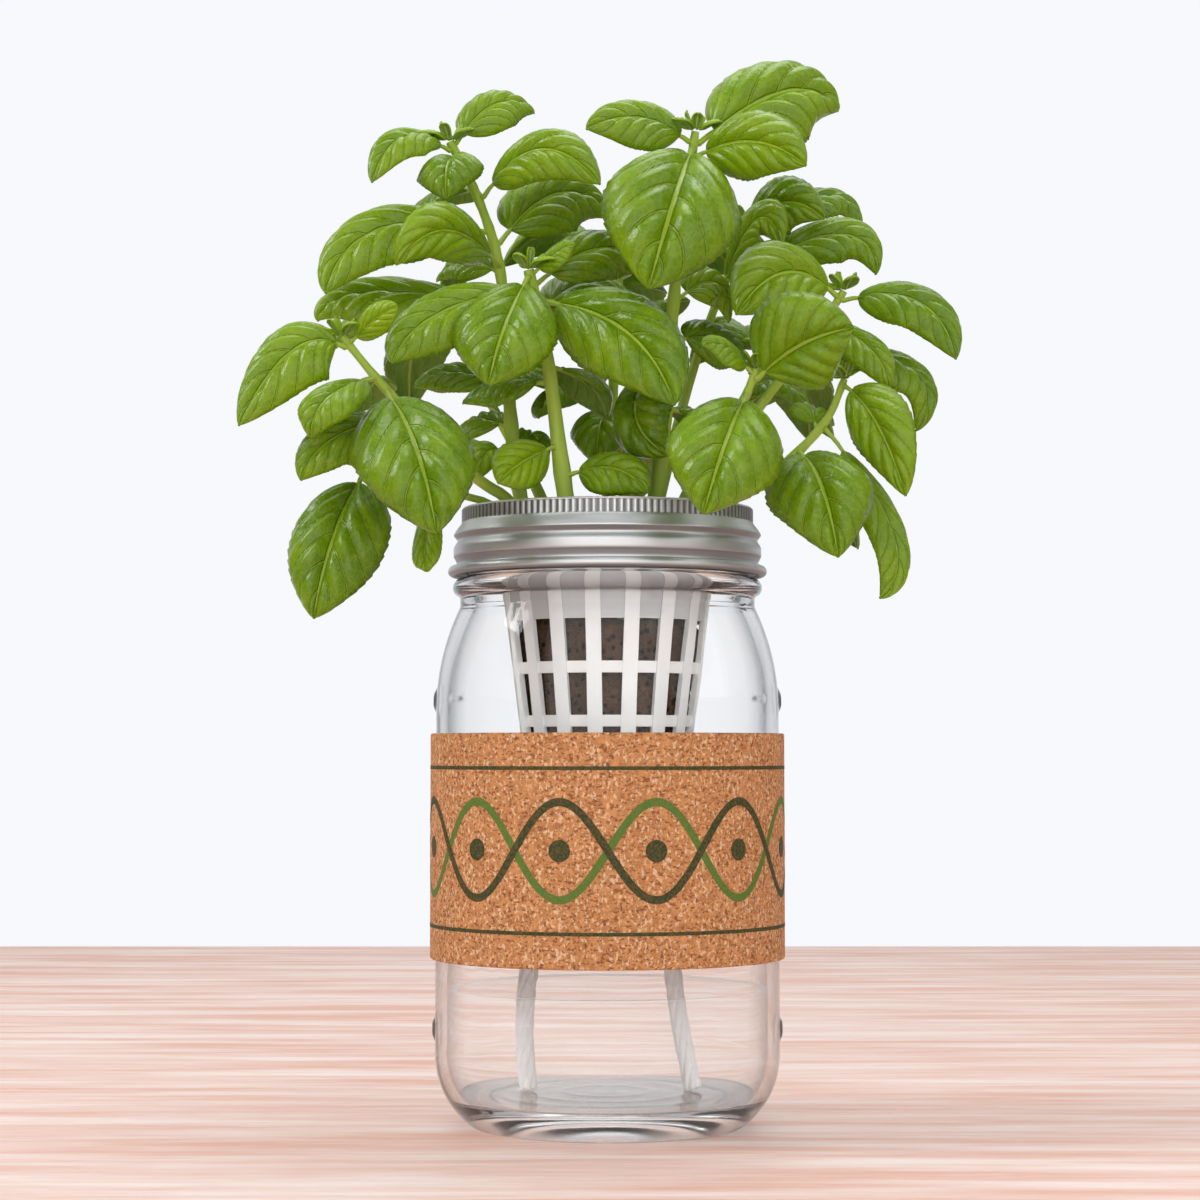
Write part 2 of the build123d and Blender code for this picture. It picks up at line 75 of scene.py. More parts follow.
# Small raised ovals on both flanks of the jar, and short bars in front of the upper ones
MARK_HEIGHTS = (119.5, 27.0)
MARK_RELIEF = 0.9
MARK_HALF_WIDTH = 1.6
MARK_HALF_HEIGHT = 3.0
BAR_TURN = 30.5
BAR_HALF = 3.4
BAR_HALF_HEIGHT = 0.5
BAR_RELIEF = 0.4
# Rings pressed into the floor of the jar, and their section as (shift, share of the relief)
FLOOR_RINGS = (31.0, 22.0, 12.0)
FLOOR_RING_RELIEF = 0.2
FLOOR_RING_SECTION = ((2.4, 0.0), (1.0, 0.8), (0.0, 1.0), (-1.0, 0.8), (-2.4, 0.0))
# How near a point of a section lies to a wall's radius to be part of that wall
BODY_SLACK = 0.6
FINISH_SLACK = 0.05
KNURL_SLACK = 0.02

# Water in the jar
WATER_Z = 38.0
WATER_GAP = 0.15
MENISCUS_RISE = 0.9
MENISCUS_REACH = 2.5
RIM_LIFT = 0.05
WATER_SEGMENTS = 160

# Screw band
BAND_SHEET = 0.5
BAND_HEIGHT = 19.6
BAND_OPENING_R = 38.5
WAIST_R = 42.5
BULGE_R = 43.7
KNURL_R = 41.4
KNURL_COUNT = 136
KNURL_DEPTH = 0.5
KNURL_HEIGHT = 4.0
BAND_SHOULDER_HEIGHT = 3.5
BAND_WAIST_HEIGHT = 3.0
BAND_RIB_HEIGHT = 3.5
CURL_RADIUS = 1.5

# Net cup and growing plug
CUP_MOUTH_R = 32.6
CUP_SLOPE = tan(radians(7.35))
CUP_WALL = 1.6
COLLAR_Z = 141.2
CUP_FLOOR_Z = 97.6
PLUG_CLEARANCE = 0.4
PLUG_EDGE_ROUND = 2.0
PLUG_WAVE = 1.4
PLUG_LUMP = 0.5
PLUG_WAVE_DEPTH = 4
PLUG_SEGMENTS = 180

# Wicks: the side, then points as (shift out, shift back, share of the way down) from the hole in the floor
WICK_DIA = 5.2
WICK_HOLE_OFFSET = 15.0
WICK_FLOOR_GAP = 0.8
WICK_STRANDS = 6
WICK_LAY = 42.0
STRAND_SHARE = 0.42
STRAND_FUZZ = 0.2
WICK_RUNS = {
    "wick_left": (-1, [(0.0, 0.0, 0.0), (0.0, 0.0, 0.17), (2.4, 0.9, 0.36), (6.7, 1.0, 0.57),
                       (8.4, 0.4, 0.75), (8.2, -0.6, 0.89), (7.2, -1.2, 1.0)]),
    "wick_right": (1, [(0.0, 0.0, 0.0), (0.0, 0.0, 0.17), (1.0, 1.0, 0.36), (2.9, 1.1, 0.57),
                       (4.8, 0.6, 0.75), (7.2, 0.1, 0.89), (9.0, -0.8, 1.0)]),
}

# Cork label and the plain ornament printed on it
LABEL_IN_R = 48.6
LABEL_OUT_R = 50.0
LABEL_BOTTOM = 47.0
LABEL_HEIGHT = 63.0
LABEL_SEAM = 2.0
LABEL_ROUND = 0.5
LABEL_COLUMNS = 240
PRINT_LIFT = 0.05
ORNAMENT_REPEATS = 12
ORNAMENT_SWING = 13.0
RIBBON_HALF = 1.1
RIBBON_SWELL = 0.9
RULE_OFFSET = 22
RULE_HALF = 0.5
DOT_R = 3.0
DOT_SIDES = 28

# Basil leaves and stems. Bulges of a leaf are shares of its width.
LEAF_THICKNESS = 0.4
LEAF_DOME = 0.22
LEAF_QUILT = 0.06
LEAF_CUP = 0.15
LEAF_WAVE = 0.03
LEAF_CURL = 1.1
LEAF_CURL_START = 0.75
LEAF_WIDEST = 0.4
LEAF_FOOT_POWER = 0.5
LEAF_TIP_POWER = 0.77
LEAF_TEETH = 13
LEAF_TOOTH = 0.04
LEAF_VEINS = 5.0
LEAF_SLANT = 0.55
LEAF_SLANT_FADE = 0.3
LEAF_SLANT_CURVE = 1.15
LEAF_ALTERNATE = 0.22
LEAF_SHIFT = 6.0
PETIOLE_SHARE = 0.08
PETIOLE_GAP = 0.5
# Petioles and ribs: places along the leaf, thickness from the stem on, and depth under the leaf
RIB_PLACES = (0.0, 0.05, 0.1, 0.2, 0.35, 0.55)
RIB_TAPER = np.array((1.25, 1.0, 0.85, 0.7, 0.55, 0.45, 0.3))
RIB_SINK = np.array((0, 0, 0.6, 1.1, 1.2, 1.2))
STEM_MARGIN = 0.8
STEM_SINK = 4.0
STEM_SQUARE = 0.05
KNOT_REACH = 1.6
KNOT_SWELL = 0.18
BUD_LEAVES = 6
BUD_REACH = 9.0
BUD_TURN = 2.4
YOUNG_WIDTH = 18
LEAF_ROWS = 58
LEAF_COLUMNS = 25

# Basil shoots. Each has its radius at the foot and at the top, its foot as a share of the plug's top,
# where it leaves the cup as a share of the cup's mouth, its further points, and its leaves. Points are
# (x, y, height over the jar's lip). A leaf has its height on the stem, a point at its middle, its tip,
# its width and the angle, in degrees, by which its upper face leans to the front.
SHOOTS = {
    "tall_left": (
        2.4, 1.1, (-0.52, 0.08), (-0.92, 0.1),
        [(-29, 3, 45), (-30, 2, 71), (-37, 0, 92), (-45, -2, 107)],
        [(105, (-58, -10, 106), (-66, -18, 92), 18, 35),
         (106, (-32, 4, 119), (-21, 10, 118), 18, 40),
         (102.5, (-45, -15, 97), (-45, -19, 87), 20, 0),
         (94, (-47, 12, 94), (-58, 18, 90), 18, 65),
         (91, (-19, -14, 102), (-2, -20, 91), 20, 45),
         (78, (-14, 14, 95), (2, 20, 89), 25, 65),
         (82, (-65, -8, 80), (-79, -16, 61), 27, 55),
         (72, (-45, -26, 77), (-58, -33, 66), 17, 60),
         (60, (-68, 4, 64), (-83, 2, 56), 23, 55),
         (70, (-41, 14, 75), (-50, 18, 70), 15, 65),
         (38, (-45, 10, 42), (-56, 12, 38), 15, 60),
         (10, (-33, -4, 18), (-36, -6, 10), 14, 30),
         (26, (-38, 14, 28), (-44, 18, 22), 19, 40)]),
    "low_left": (
        2.2, 1, (-0.6, -0.36), (-0.86, -0.46),
        [(-38, -19, 9), (-60, -25, 31), (-73, -28, 47)],
        [(45, (-86, -34, 42), (-100, -40, 21), 25, 45),
         (36, (-75, -50, 27), (-79, -54, 16), 16, 0),
         (45, (-63, -36, 51), (-57, -39, 54), 9, 20),
         (32, (-51, -54, 13), (-45, -62, -10), 34, 0),
         (26, (-74, -37, 18), (-83, -41, 6), 17, 35),
         (36, (-67, -12, 35), (-74, -8, 28), 14, 50)]),
    "front_left": (
        3, 1.3, (-0.28, -0.48), (-0.43, -0.5),
        [(-17, -17, 47), (-22, -20, 67)],
        [(65, (-28, -42, 47), (-32, -48, 31), 29, 0),
         (62, (-47, -27, 53), (-59, -33, 39), 24, 60),
         (66, (-14, -24, 71), (-9, -26, 73), 10, 30),
         (58, (5, -36, 47), (18, -44, 26), 29, 50),
         (36, (-29, -10, 36), (-41, -8, 31), 20, 60),
         (18, (-24, -28, 12), (-30, -33, 6), 15, 30),
         (10, (2, -22, 11), (11, -26, 4), 17, 45),
         (63, (-1, -8, 75), (13, -2, 68), 20, 60),
         (56, (-4, 6, 68), (7, 12, 63), 20, 60),
         (40, (-5, -2, 37), (0, 2, 28), 18, 20)]),
    "tall_right": (
        2.8, 1.1, (0.32, -0.12), (0.5, -0.14),
        [(17, -4, 35), (19, -4, 66), (25, -6, 109)],
        [(106, (9, -9, 112), (-6, -14, 108), 22, 62),
         (106, (51, 2, 122), (67, 8, 118), 33, 55),
         (102, (41, -20, 103), (55, -26, 95), 21, 55),
         (104, (18, -34, 83), (11, -42, 58), 40, 0),
         (44, (8, -16, 28), (17, -20, 15), 25, 30),
         (62, (31, 4, 67), (35, 6, 56), 16, 60),
         (50, (33, 8, 51), (41, 14, 44), 18, 60),
         (60, (16, 8, 61), (12, 14, 53), 15, 40),
         (30, (28, 8, 28), (34, 12, 20), 18, 30)]),
    "far_right": (
        2.2, 1, (0.56, 0.2), (0.86, 0.25),
        [(42, 8, 30), (58, 6, 50), (68, 4, 65)],
        [(63, (50, -8, 68), (36, -16, 55), 26, 60),
         (63, (88, -6, 60), (98, -12, 43), 20, 45),
         (56, (74, -10, 46), (79, -12, 35), 15, 0),
         (50, (87, 2, 41), (88, 0, 24), 20, 35)]),
    "front_right": (
        2.2, 1, (0.56, -0.48), (0.78, -0.6),
        [(33, -24, 18), (41, -28, 38)],
        [(36, (53, -36, 44), (67, -38, 48), 30, 60),
         (37, (32, -34, 43), (26, -38, 43), 13, 40),
         (31, (31, -56, 14), (25, -63, -5), 32, 0)]),
    "low_right": (
        2, 0.9, (0.68, -0.16), (0.96, -0.25),
        [(45, -10, 9), (62, -9, 25), (67, -7, 38)],
        [(17, (58, -36, 5), (62, -44, -15), 30, 0),
         (24, (79, -20, -7), (75, -24, -25), 16, 40),
         (36, (75, -23, 23), (82, -27, 3), 19, 40),
         (23, (59, 0, 30), (65, 4, 22), 14, 50)]),
    "side_left": (
        1.8, 0.9, (-0.68, -0.12), (-0.98, -0.18),
        [(-45, -8, 6), (-62, -13, 10), (-70, -16, 12)],
        [(11.5, (-75, -30, -9), (-80, -34, -31), 29, 0),
         (7, (-50, -29, -11), (-49, -31, -18), 9, 0)]),
    "back_tall": (
        2, 1, (0.28, 0.44), (0.5, 0.57),
        [(26, 22, 50), (42, 22, 88)],
        [(84, (51, 12, 92), (63, 10, 87), 18, 60),
         (87, (66, 30, 97), (75, 30, 87), 18, 45),
         (72, (67, 14, 83), (78, 12, 71), 18, 55),
         (66, (43, 8, 86), (50, 4, 78), 16, 65)]),
    "back_left": (
        2.2, 1, (-0.4, 0.44), (-0.57, 0.64),
        [(-34, 34, 35), (-48, 44, 62)],
        [(58, (-66, 50, 68), (-88, 54, 52), 27, 35),
         (55, (-58, 64, 60), (-62, 84, 40), 28, 0),
         (58, (-34, 56, 72), (-20, 66, 62), 22, 0),
         (60, (-47, 42, 74), (-44, 38, 84), 11, 0),
         (22, (-56, 48, 22), (-74, 58, 4), 28, 0),
         (40, (-26, 26, 46), (-16, 18, 38), 22, 0),
         (20, (-22, 24, 25), (-18, 20, 17), 20, 0)]),
    "back_middle": (
        2.4, 1, (-0.04, 0.64), (0.0, 0.79),
        [(2, 38, 45), (4, 46, 82)],
        [(78, (-14, 56, 92), (-32, 62, 82), 24, 0),
         (77, (24, 58, 90), (42, 66, 78), 24, 0),
         (72, (4, 70, 78), (4, 90, 54), 30, 0),
         (80, (9, 40, 91), (14, 34, 102), 12, 0),
         (26, (6, 62, 30), (8, 86, 10), 30, 0),
         (64, (-12, 34, 70), (-22, 26, 62), 22, 0),
         (32, (-2, 20, 28), (-3, 16, 16), 20, 0),
         (46, (-14, 24, 38), (-20, 18, 30), 22, 0)]),
    "back_right": (
        2.2, 1, (0.52, 0.56), (0.68, 0.68),
        [(36, 34, 30), (50, 42, 54)],
        [(50, (70, 48, 58), (90, 52, 42), 27, 0),
         (47, (58, 62, 50), (64, 82, 30), 28, 0),
         (50, (38, 56, 62), (26, 68, 52), 22, 0),
         (52, (52, 40, 66), (56, 36, 76), 11, 0),
         (18, (58, 42, 14), (76, 50, -6), 27, 0),
         (32, (50, 26, 40), (60, 20, 30), 18, 0)]),
}

# Camera and stage: the lens and sensor in millimetres, as the rest
CAMERA_LENS = 84.6
CAMERA_SENSOR = 36.0
CAMERA_DISTANCE = 800.0
CAMERA_HEIGHT = 105.0
CAMERA_AIM = 147.9
CAMERA_SIDE = -2.1
FLOOR_BACK = 727.0
FLOOR_FRONT = -1000.0
FLOOR_HALF = 1600.0
ROOM_LIGHT = 0.33
# Lamps: place in metres, power in watts and size in metres. All face one point on the jar's axis.
LAMP_AIM = 0.15
LAMPS = {
    "front": ((-0.1, -1.5, 0.6), 24.5, 2.4),
    "key": ((-1.45, -0.1, 1.4), 15.0, 0.7),
    "fill": ((1.3, -0.6, 0.9), 6.0, 1.4),
    "top": ((0.15, 0.25, 1.35), 7.5, 0.9),
}

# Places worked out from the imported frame
BAND_TOP_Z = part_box("screw_band")[1][2] / MM
PLUG_TOP_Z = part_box("growing_plug")[1][2] / MM
UP = np.array((0.0, 0.0, 1.0))


def placed(name, data):
    """Object in the scene that shows the given data."""
    made = bpy.data.objects.new(name, data)
    bpy.context.collection.objects.link(made)
    return made


def piece(name, shape, materials, body, node=None):
    """Smooth mesh piece that rides on a body and may stand for a node of the frame. It is in millimetres."""
    verts, faces = shape
    mesh = bpy.data.meshes.new(name)
    mesh.from_pydata((np.asarray(verts, float) * MM).tolist(), [], faces)
    for material in materials:
        mesh.materials.append(material)
    mesh.shade_smooth()
    made = placed(name, mesh)
    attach(made, body)
    if node:
        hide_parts(node)
    return made


def turned(profile, segments, closed=False, shape=None):
    """Surface turned about the jar's axis from (radius, height) points. shape adds to the radius."""
    verts = []
    rows = []
    for r, z in profile:
        row = []
        for k in range(segments if r > 0 else 1):
            bearing = 2 * pi * k / segments
            reach = r + shape(bearing, r, z) if shape else r
            row.append(len(verts))
            verts.append((reach * cos(bearing), reach * sin(bearing), z))
        rows.append(row)
    pairs = list(zip(rows, rows[1:]))
    if closed:
        pairs.append((rows[-1], rows[0]))
    faces = []
    for low, high in pairs:
        for k in range(segments):
            n = k + 1
            quad = [low[k % len(low)], low[n % len(low)], high[n % len(high)], high[k % len(high)]]
            faces.append(list(dict.fromkeys(quad)))
    return verts, faces


def arc(centre, radius, start, end, steps=12):
    """Points (radius, height) round part of a circle. Angles are in degrees from the outward direction."""
    points = []
    for i in range(steps + 1):
        angle = radians(start + (end - start) * i / steps)
        points.append((centre[0] + radius * cos(angle), centre[1] + radius * sin(angle)))
    return points


def run(start, end, step):
    """Evenly spaced points from start to end."""
    count = max(1, round(sqrt((end[0] - start[0]) ** 2 + (end[1] - start[1]) ** 2) / step))
    share = [i / count for i in range(count + 1)]
    return [(start[0] + (end[0] - start[0]) * s, start[1] + (end[1] - start[1]) * s) for s in share]


def softened(points, times=2, closed=False):
    """The same outline with its corners cut off, over and over."""
    for _ in range(times):
        ring = points + points[:1] if closed else points
        cut = []
        for a, b in zip(ring, ring[1:]):
            cut.append(tuple(0.75 * p + 0.25 * q for p, q in zip(a, b)))
            cut.append(tuple(0.25 * p + 0.75 * q for p, q in zip(a, b)))
        points = cut if closed else points[:1] + cut + points[-1:]
    return points


def grid(rows, columns, wrap=False):
    """Faces between rows of points. wrap joins the last point of each row to its first."""
    faces = []
    for i in range(rows - 1):
        for k in range(columns if wrap else columns - 1):
            n = (k + 1) % columns
            faces.append((i * columns + k, i * columns + n, (i + 1) * columns + n, (i + 1) * columns + k))
    return faces


def flipped(faces):
    return [(a, d, c, b) for a, b, c, d in faces]


def unit(vectors):
    return vectors / np.linalg.norm(vectors, axis=-1, keepdims=True)


def tube(points, radii, sides, square=0.0):
    """Closed tube along points. square pushes its section towards a rounded square."""
    points = np.asarray(points, float)
    along = unit(np.gradient(points, axis=0))
    across = unit(np.cross(along[0], (0.3, 0.9, 0.1)))
    verts = []
    for here, direction, radius in zip(points, along, radii):
        across = unit(across - direction * across.dot(direction))
        other = np.cross(direction, across)
        for k in range(sides):
            angle = 2 * pi * k / sides
            reach = radius * (1 + square * cos(4 * angle))
            verts.append(here + across * (reach * cos(angle)) + other * (reach * sin(angle)))
    faces = grid(len(points), sides, wrap=True)
    faces.append(tuple(range(sides - 1, -1, -1)))
    last = (len(points) - 1) * sides
    faces.append(tuple(range(last, last + sides)))
    return verts, faces


def joined(parts):
    """Several (vertices, faces) as one."""
    verts = []
    faces = []
    for part_verts, part_faces in parts:
        first = len(verts)
        verts.extend(part_verts)
        faces.extend([tuple(first + i for i in face) for face in part_faces])
    return verts, faces


class Nodes:
    """A node tree, and short ways to add nodes to it."""

    def __init__(self, tree):
        self.tree = tree

    def add(self, kind, inputs=(), **settings):
        """New node. Its inputs are numbers, colours or the outputs of other nodes, by socket."""
        node = self.tree.nodes.new("ShaderNode" + kind)
        for key, value in settings.items():
            setattr(node, key, value)
        for key, value in dict(inputs).items():
            if isinstance(value, bpy.types.NodeSocket):
                self.link(value, node.inputs[key])
            else:
                node.inputs[key].default_value = value
        return node

    def link(self, source, target):
        self.tree.links.new(source, target)

    def place(self, scale=(1, 1, 1)):
        """Place on the object, in metres, stretched by scale."""
        inputs = {"Vector": self.add("TexCoord").outputs["Object"], "Scale": scale}
        return self.add("Mapping", inputs).outputs["Vector"]

    def split(self, vector):
        """The three numbers of a vector."""
        return self.add("SeparateXYZ", {"Vector": vector}).outputs

    def height(self):
        """Height on the object, in metres."""
        return self.split(self.place())["Z"]

    def axis_place(self):
        """Distance from the jar's axis and height, both in metres."""
        x, y, z = self.split(self.place())
        squares = self.maths("ADD", self.maths("MULTIPLY", x, x), self.maths("MULTIPLY", y, y))
        return self.maths("SQRT", squares), z

    def noise(self, scale, place, detail, roughness=0.55):
        inputs = {"Vector": place, "Scale": scale, "Detail": detail, "Roughness": roughness}
        return self.add("TexNoise", inputs).outputs["Fac"]

    def cells(self, scale, place, output="Distance", feature="F1"):
        return self.add("TexVoronoi", {"Vector": place, "Scale": scale}, feature=feature).outputs[output]

    def between(self, value, low, high, to_low=0.0, to_high=1.0):
        """A value mapped from one range to another, held at the ends."""
        inputs = {"Value": value, "From Min": low, "From Max": high, "To Min": to_low, "To Max": to_high}
        return self.add("MapRange", inputs).outputs["Result"]

    def maths(self, operation, first, second=0.0):
        """Value worked out from one or two others. Each is a number or a socket."""
        return self.add("Math", {0: first, 1: second}, operation=operation).outputs["Value"]

    def attribute(self, name):
        return self.add("Attribute", attribute_name=name).outputs["Fac"]

    def mix(self, factor, first, second):
        """Colour that goes from first to second. Each is a colour or a socket."""
        ends = [(*end, 1.0) if isinstance(end, tuple) else end for end in (first, second)]
        return self.add("Mix", {0: factor, 6: ends[0], 7: ends[1]}, data_type="RGBA").outputs[2]


class Shader(Nodes):
    """A material with one main surface."""

    def __init__(self, name):
        self.material = bpy.data.materials.new(name)
        self.material.use_nodes = True
        super().__init__(self.material.node_tree)
        self.main = self.tree.nodes["Principled BSDF"]

    def set(self, **values):
        for key, value in values.items():
            self.main.inputs[key.replace("_", " ")].default_value = value

    def colour(self, source):
        self.link(source, self.main.inputs["Base Color"])

    def rough(self, source):
        self.link(source, self.main.inputs["Roughness"])

    def bump(self, height, strength, distance):
        node = self.add("Bump", {"Height": height, "Strength": strength, "Distance": distance})
        earlier = self.main.inputs["Normal"].links
        if earlier:
            self.link(earlier[0].from_socket, node.inputs["Normal"])
        self.link(node.outputs["Normal"], self.main.inputs["Normal"])


def glass_material():
    """Clear pressed glass with a faint waviness, with painted shade where it is seen edge on (partly also the
    longer path through the glass), and a worn foot.
    """
    shader = Shader("clear_glass")
    shader.set(IOR=1.47, Transmission_Weight=1.0, Specular_Tint=(0.4, 0.4, 0.4, 1))
    # Painted shade: the colour goes dark grey where the glass is seen edge on, partly also for the longer
    # path through it
    edge_on = shader.add("LayerWeight").outputs["Facing"]
    shader.colour(shader.mix(shader.between(edge_on, 0.52, 0.88), (0.998, 1.0, 0.999), (0.15, 0.16, 0.16)))
    shader.rough(shader.between(shader.height(), 1.5 * MM, 5.0 * MM, 0.18, 0.0))
    place = shader.place((1, 1, 0.3))
    shader.bump(shader.noise(48, place, 1.5), 0.1, 0.002)
    # Light from the lamps passes straight through, so that what stands in the jar is lit
    clear = shader.add("BsdfTransparent", {"Color": (0.97, 0.98, 0.975, 1)})
    shadow = shader.add("LightPath").outputs["Is Shadow Ray"]
    blend = shader.add("MixShader", {0: shadow, 1: shader.main.outputs["BSDF"], 2: clear.outputs["BSDF"]})
    shader.link(blend.outputs["Shader"], shader.tree.nodes["Material Output"].inputs["Surface"])
    return shader.material


def water_material(name, alpha):
    """Slightly cloudy water with plant food in it. With a high alpha it is the painted highlight on the
    water's rim.
    """
    shader = Shader(name)
    shader.set(Base_Color=(0.93, 0.94, 0.95, 1), Roughness=0.06, Alpha=alpha, IOR=1.33)
    place = shader.place()
    shader.bump(shader.noise(60, place, 2), 0.08, 0.001)
    return shader.material


def metal_material():
    """Rolled bright metal, brushed round the axis, with painted shade on the undersides of its ribs."""
    shader = Shader("band_metal")
    shader.set(Metallic=1.0)
    streaks = shader.noise(1.0, shader.place((14, 14, 1500)), 3)
    smudges = shader.noise(70, shader.place(), 3)
    bright = shader.mix(shader.between(smudges, 0.3, 0.7), (0.64, 0.655, 0.66), (0.72, 0.735, 0.74))
    facing = shader.split(shader.add("TexCoord").outputs["Normal"])
    # Painted shade: faces that look downward, the undersides of the ribs, are darkened
    under = shader.between(facing["Z"], -0.5, 0.0, 0.85, 0.0)
    bright = shader.mix(under, bright, (0.15, 0.17, 0.18))
    # Painted shade in the flutes round the top edge
    reach, z = shader.axis_place()
    flutes_z = BAND_TOP_Z - BAND_SHEET - KNURL_HEIGHT
    recess_shade = shader.between(reach, (KNURL_R - KNURL_DEPTH) * MM, (KNURL_R - 0.1) * MM, 0.95, 0.0)
    rows = shader.maths("MULTIPLY", shader.between(z, flutes_z * MM, (flutes_z + 0.2) * MM),
                        shader.between(z, (BAND_TOP_Z - 0.8) * MM, (BAND_TOP_Z - 0.5) * MM, 1.0, 0.0))
    shader.colour(shader.mix(shader.maths("MULTIPLY", recess_shade, rows), bright, (0.10, 0.11, 0.11)))
    shader.rough(shader.between(streaks, 0.3, 0.7, 0.38, 0.5))
    shader.bump(streaks, 0.12, 0.0001)
    return shader.material


def plastic_material():
    """White moulded plastic with a fine satin texture. The thin collar between the slats is painted greyer,
    as shade.
    """
    shader = Shader("white_plastic")
    shader.set(Subsurface_Weight=0.1, Subsurface_Radius=(0.002, 0.002, 0.002), Subsurface_Scale=0.5)
    place = shader.place()
    haze = shader.noise(90, place, 3)
    white = shader.mix(shader.between(haze, 0.3, 0.7), (0.89, 0.90, 0.895), (0.94, 0.95, 0.95))
    reach, z = shader.axis_place()
    foot_r = CUP_MOUTH_R - JAR_HEIGHT * CUP_SLOPE
    outside = shader.between(z, 0.0, JAR_HEIGHT * MM, foot_r * MM, CUP_MOUTH_R * MM)
    # Painted shade: the collar's faces set back between the slats are made grey
    recess_shade = shader.between(shader.maths("SUBTRACT", outside, reach), 0.3 * MM, 0.6 * MM)
    collar = shader.between(z, (COLLAR_Z - 0.3) * MM, (COLLAR_Z + 0.3) * MM)
    shader.colour(shader.mix(shader.maths("MULTIPLY", recess_shade, collar), white, (0.62, 0.63, 0.64)))
    shader.rough(shader.between(haze, 0.3, 0.7, 0.3, 0.42))
    shader.bump(shader.noise(2600, place, 2), 0.06, 0.0001)
    return shader.material


def sponge_material():
    """Brown open sponge with painted shade in its pores and fine pits."""
    shader = Shader("brown_sponge")
    place = shader.place()
    pores = shader.cells(420, place)
    fine = shader.cells(1300, place)
    patches = shader.noise(130, place, 5)
    base = shader.mix(shader.between(patches, 0.3, 0.7), (0.058, 0.028, 0.013), (0.115, 0.062, 0.032))
    # Painted shade: the fine pits and the pores are darkened as holes in shade
    base = shader.mix(shader.between(fine, 0.05, 0.4, 0.55, 0.0), base, (0.035, 0.02, 0.012))
    base = shader.mix(shader.between(pores, 0.2, 0.36, 0.95, 0.0), base, (0.006, 0.003, 0.002))
    shader.colour(base)
    shader.set(Roughness=0.92, Specular_IOR_Level=0.2)
    shader.bump(shader.between(pores, 0.05, 0.4), 0.8, 0.0012)
    shader.bump(shader.between(fine, 0.05, 0.5), 0.6, 0.0005)
    return shader.material


def cotton_material():
    """Bleached cotton yarn with fine fibres."""
    shader = Shader("cotton")
    place = shader.place((1, 1, 0.35))
    fibres = shader.noise(2400, place, 4)
    shader.colour(shader.mix(shader.between(fibres, 0.35, 0.65), (0.90, 0.89, 0.885), (0.97, 0.965, 0.96)))
    shader.set(Roughness=0.45, Sheen_Weight=0.3, Specular_IOR_Level=0.4)
    shader.bump(shader.noise(700, place, 3), 0.8, 0.001)
    shader.bump(fibres, 0.4, 0.0003)
    return shader.material


def cork_material():
    """Pressed cork: tan granules with dark and cream flecks."""
    shader = Shader("cork")
    place = shader.place()
    granules = shader.cells(640, place, "Color")
    crumbs = shader.cells(1700, place, "Color")
    seams = shader.cells(640, place, feature="DISTANCE_TO_EDGE")
    base = shader.mix(shader.between(granules, 0.1, 0.9), (0.47, 0.185, 0.060), (0.70, 0.315, 0.118))
    base = shader.mix(shader.between(crumbs, 0.2, 0.9, 0.0, 0.4), base, (0.76, 0.41, 0.18))
    base = shader.mix(shader.between(seams, 0.0, 0.05, 0.22, 0.0), base, (0.30, 0.10, 0.036))
    dark = shader.noise(950, shader.place((1, 1, 1.5)), 3)
    base = shader.mix(shader.between(dark, 0.54, 0.60, 0.0, 0.85), base, (0.22, 0.075, 0.03))
    cream = shader.noise(900, shader.place((1.3, 1.3, 0.9)), 3)
    base = shader.mix(shader.between(cream, 0.56, 0.62, 0.0, 0.85), base, (0.85, 0.60, 0.38))
    shader.colour(base)
    shader.set(Roughness=0.78, Specular_IOR_Level=0.3)
    shader.bump(shader.between(seams, 0.0, 0.12), 0.2, 0.0002)
    shader.bump(crumbs, 0.25, 0.0002)
    return shader.material


def print_material(name, colour):
    """Matt ink that lets the cork's grain show through."""
    shader = Shader(name)
    place = shader.place()
    grain = shader.noise(1500, place, 4)
    worn = tuple(0.75 * c + 0.25 * k for c, k in zip(colour, (0.5, 0.2, 0.08)))
    shader.colour(shader.mix(shader.between(grain, 0.42, 0.66), colour, worn))
    shader.set(Roughness=0.7, Specular_IOR_Level=0.3)
    shader.bump(grain, 0.3, 0.0002)
    return shader.material


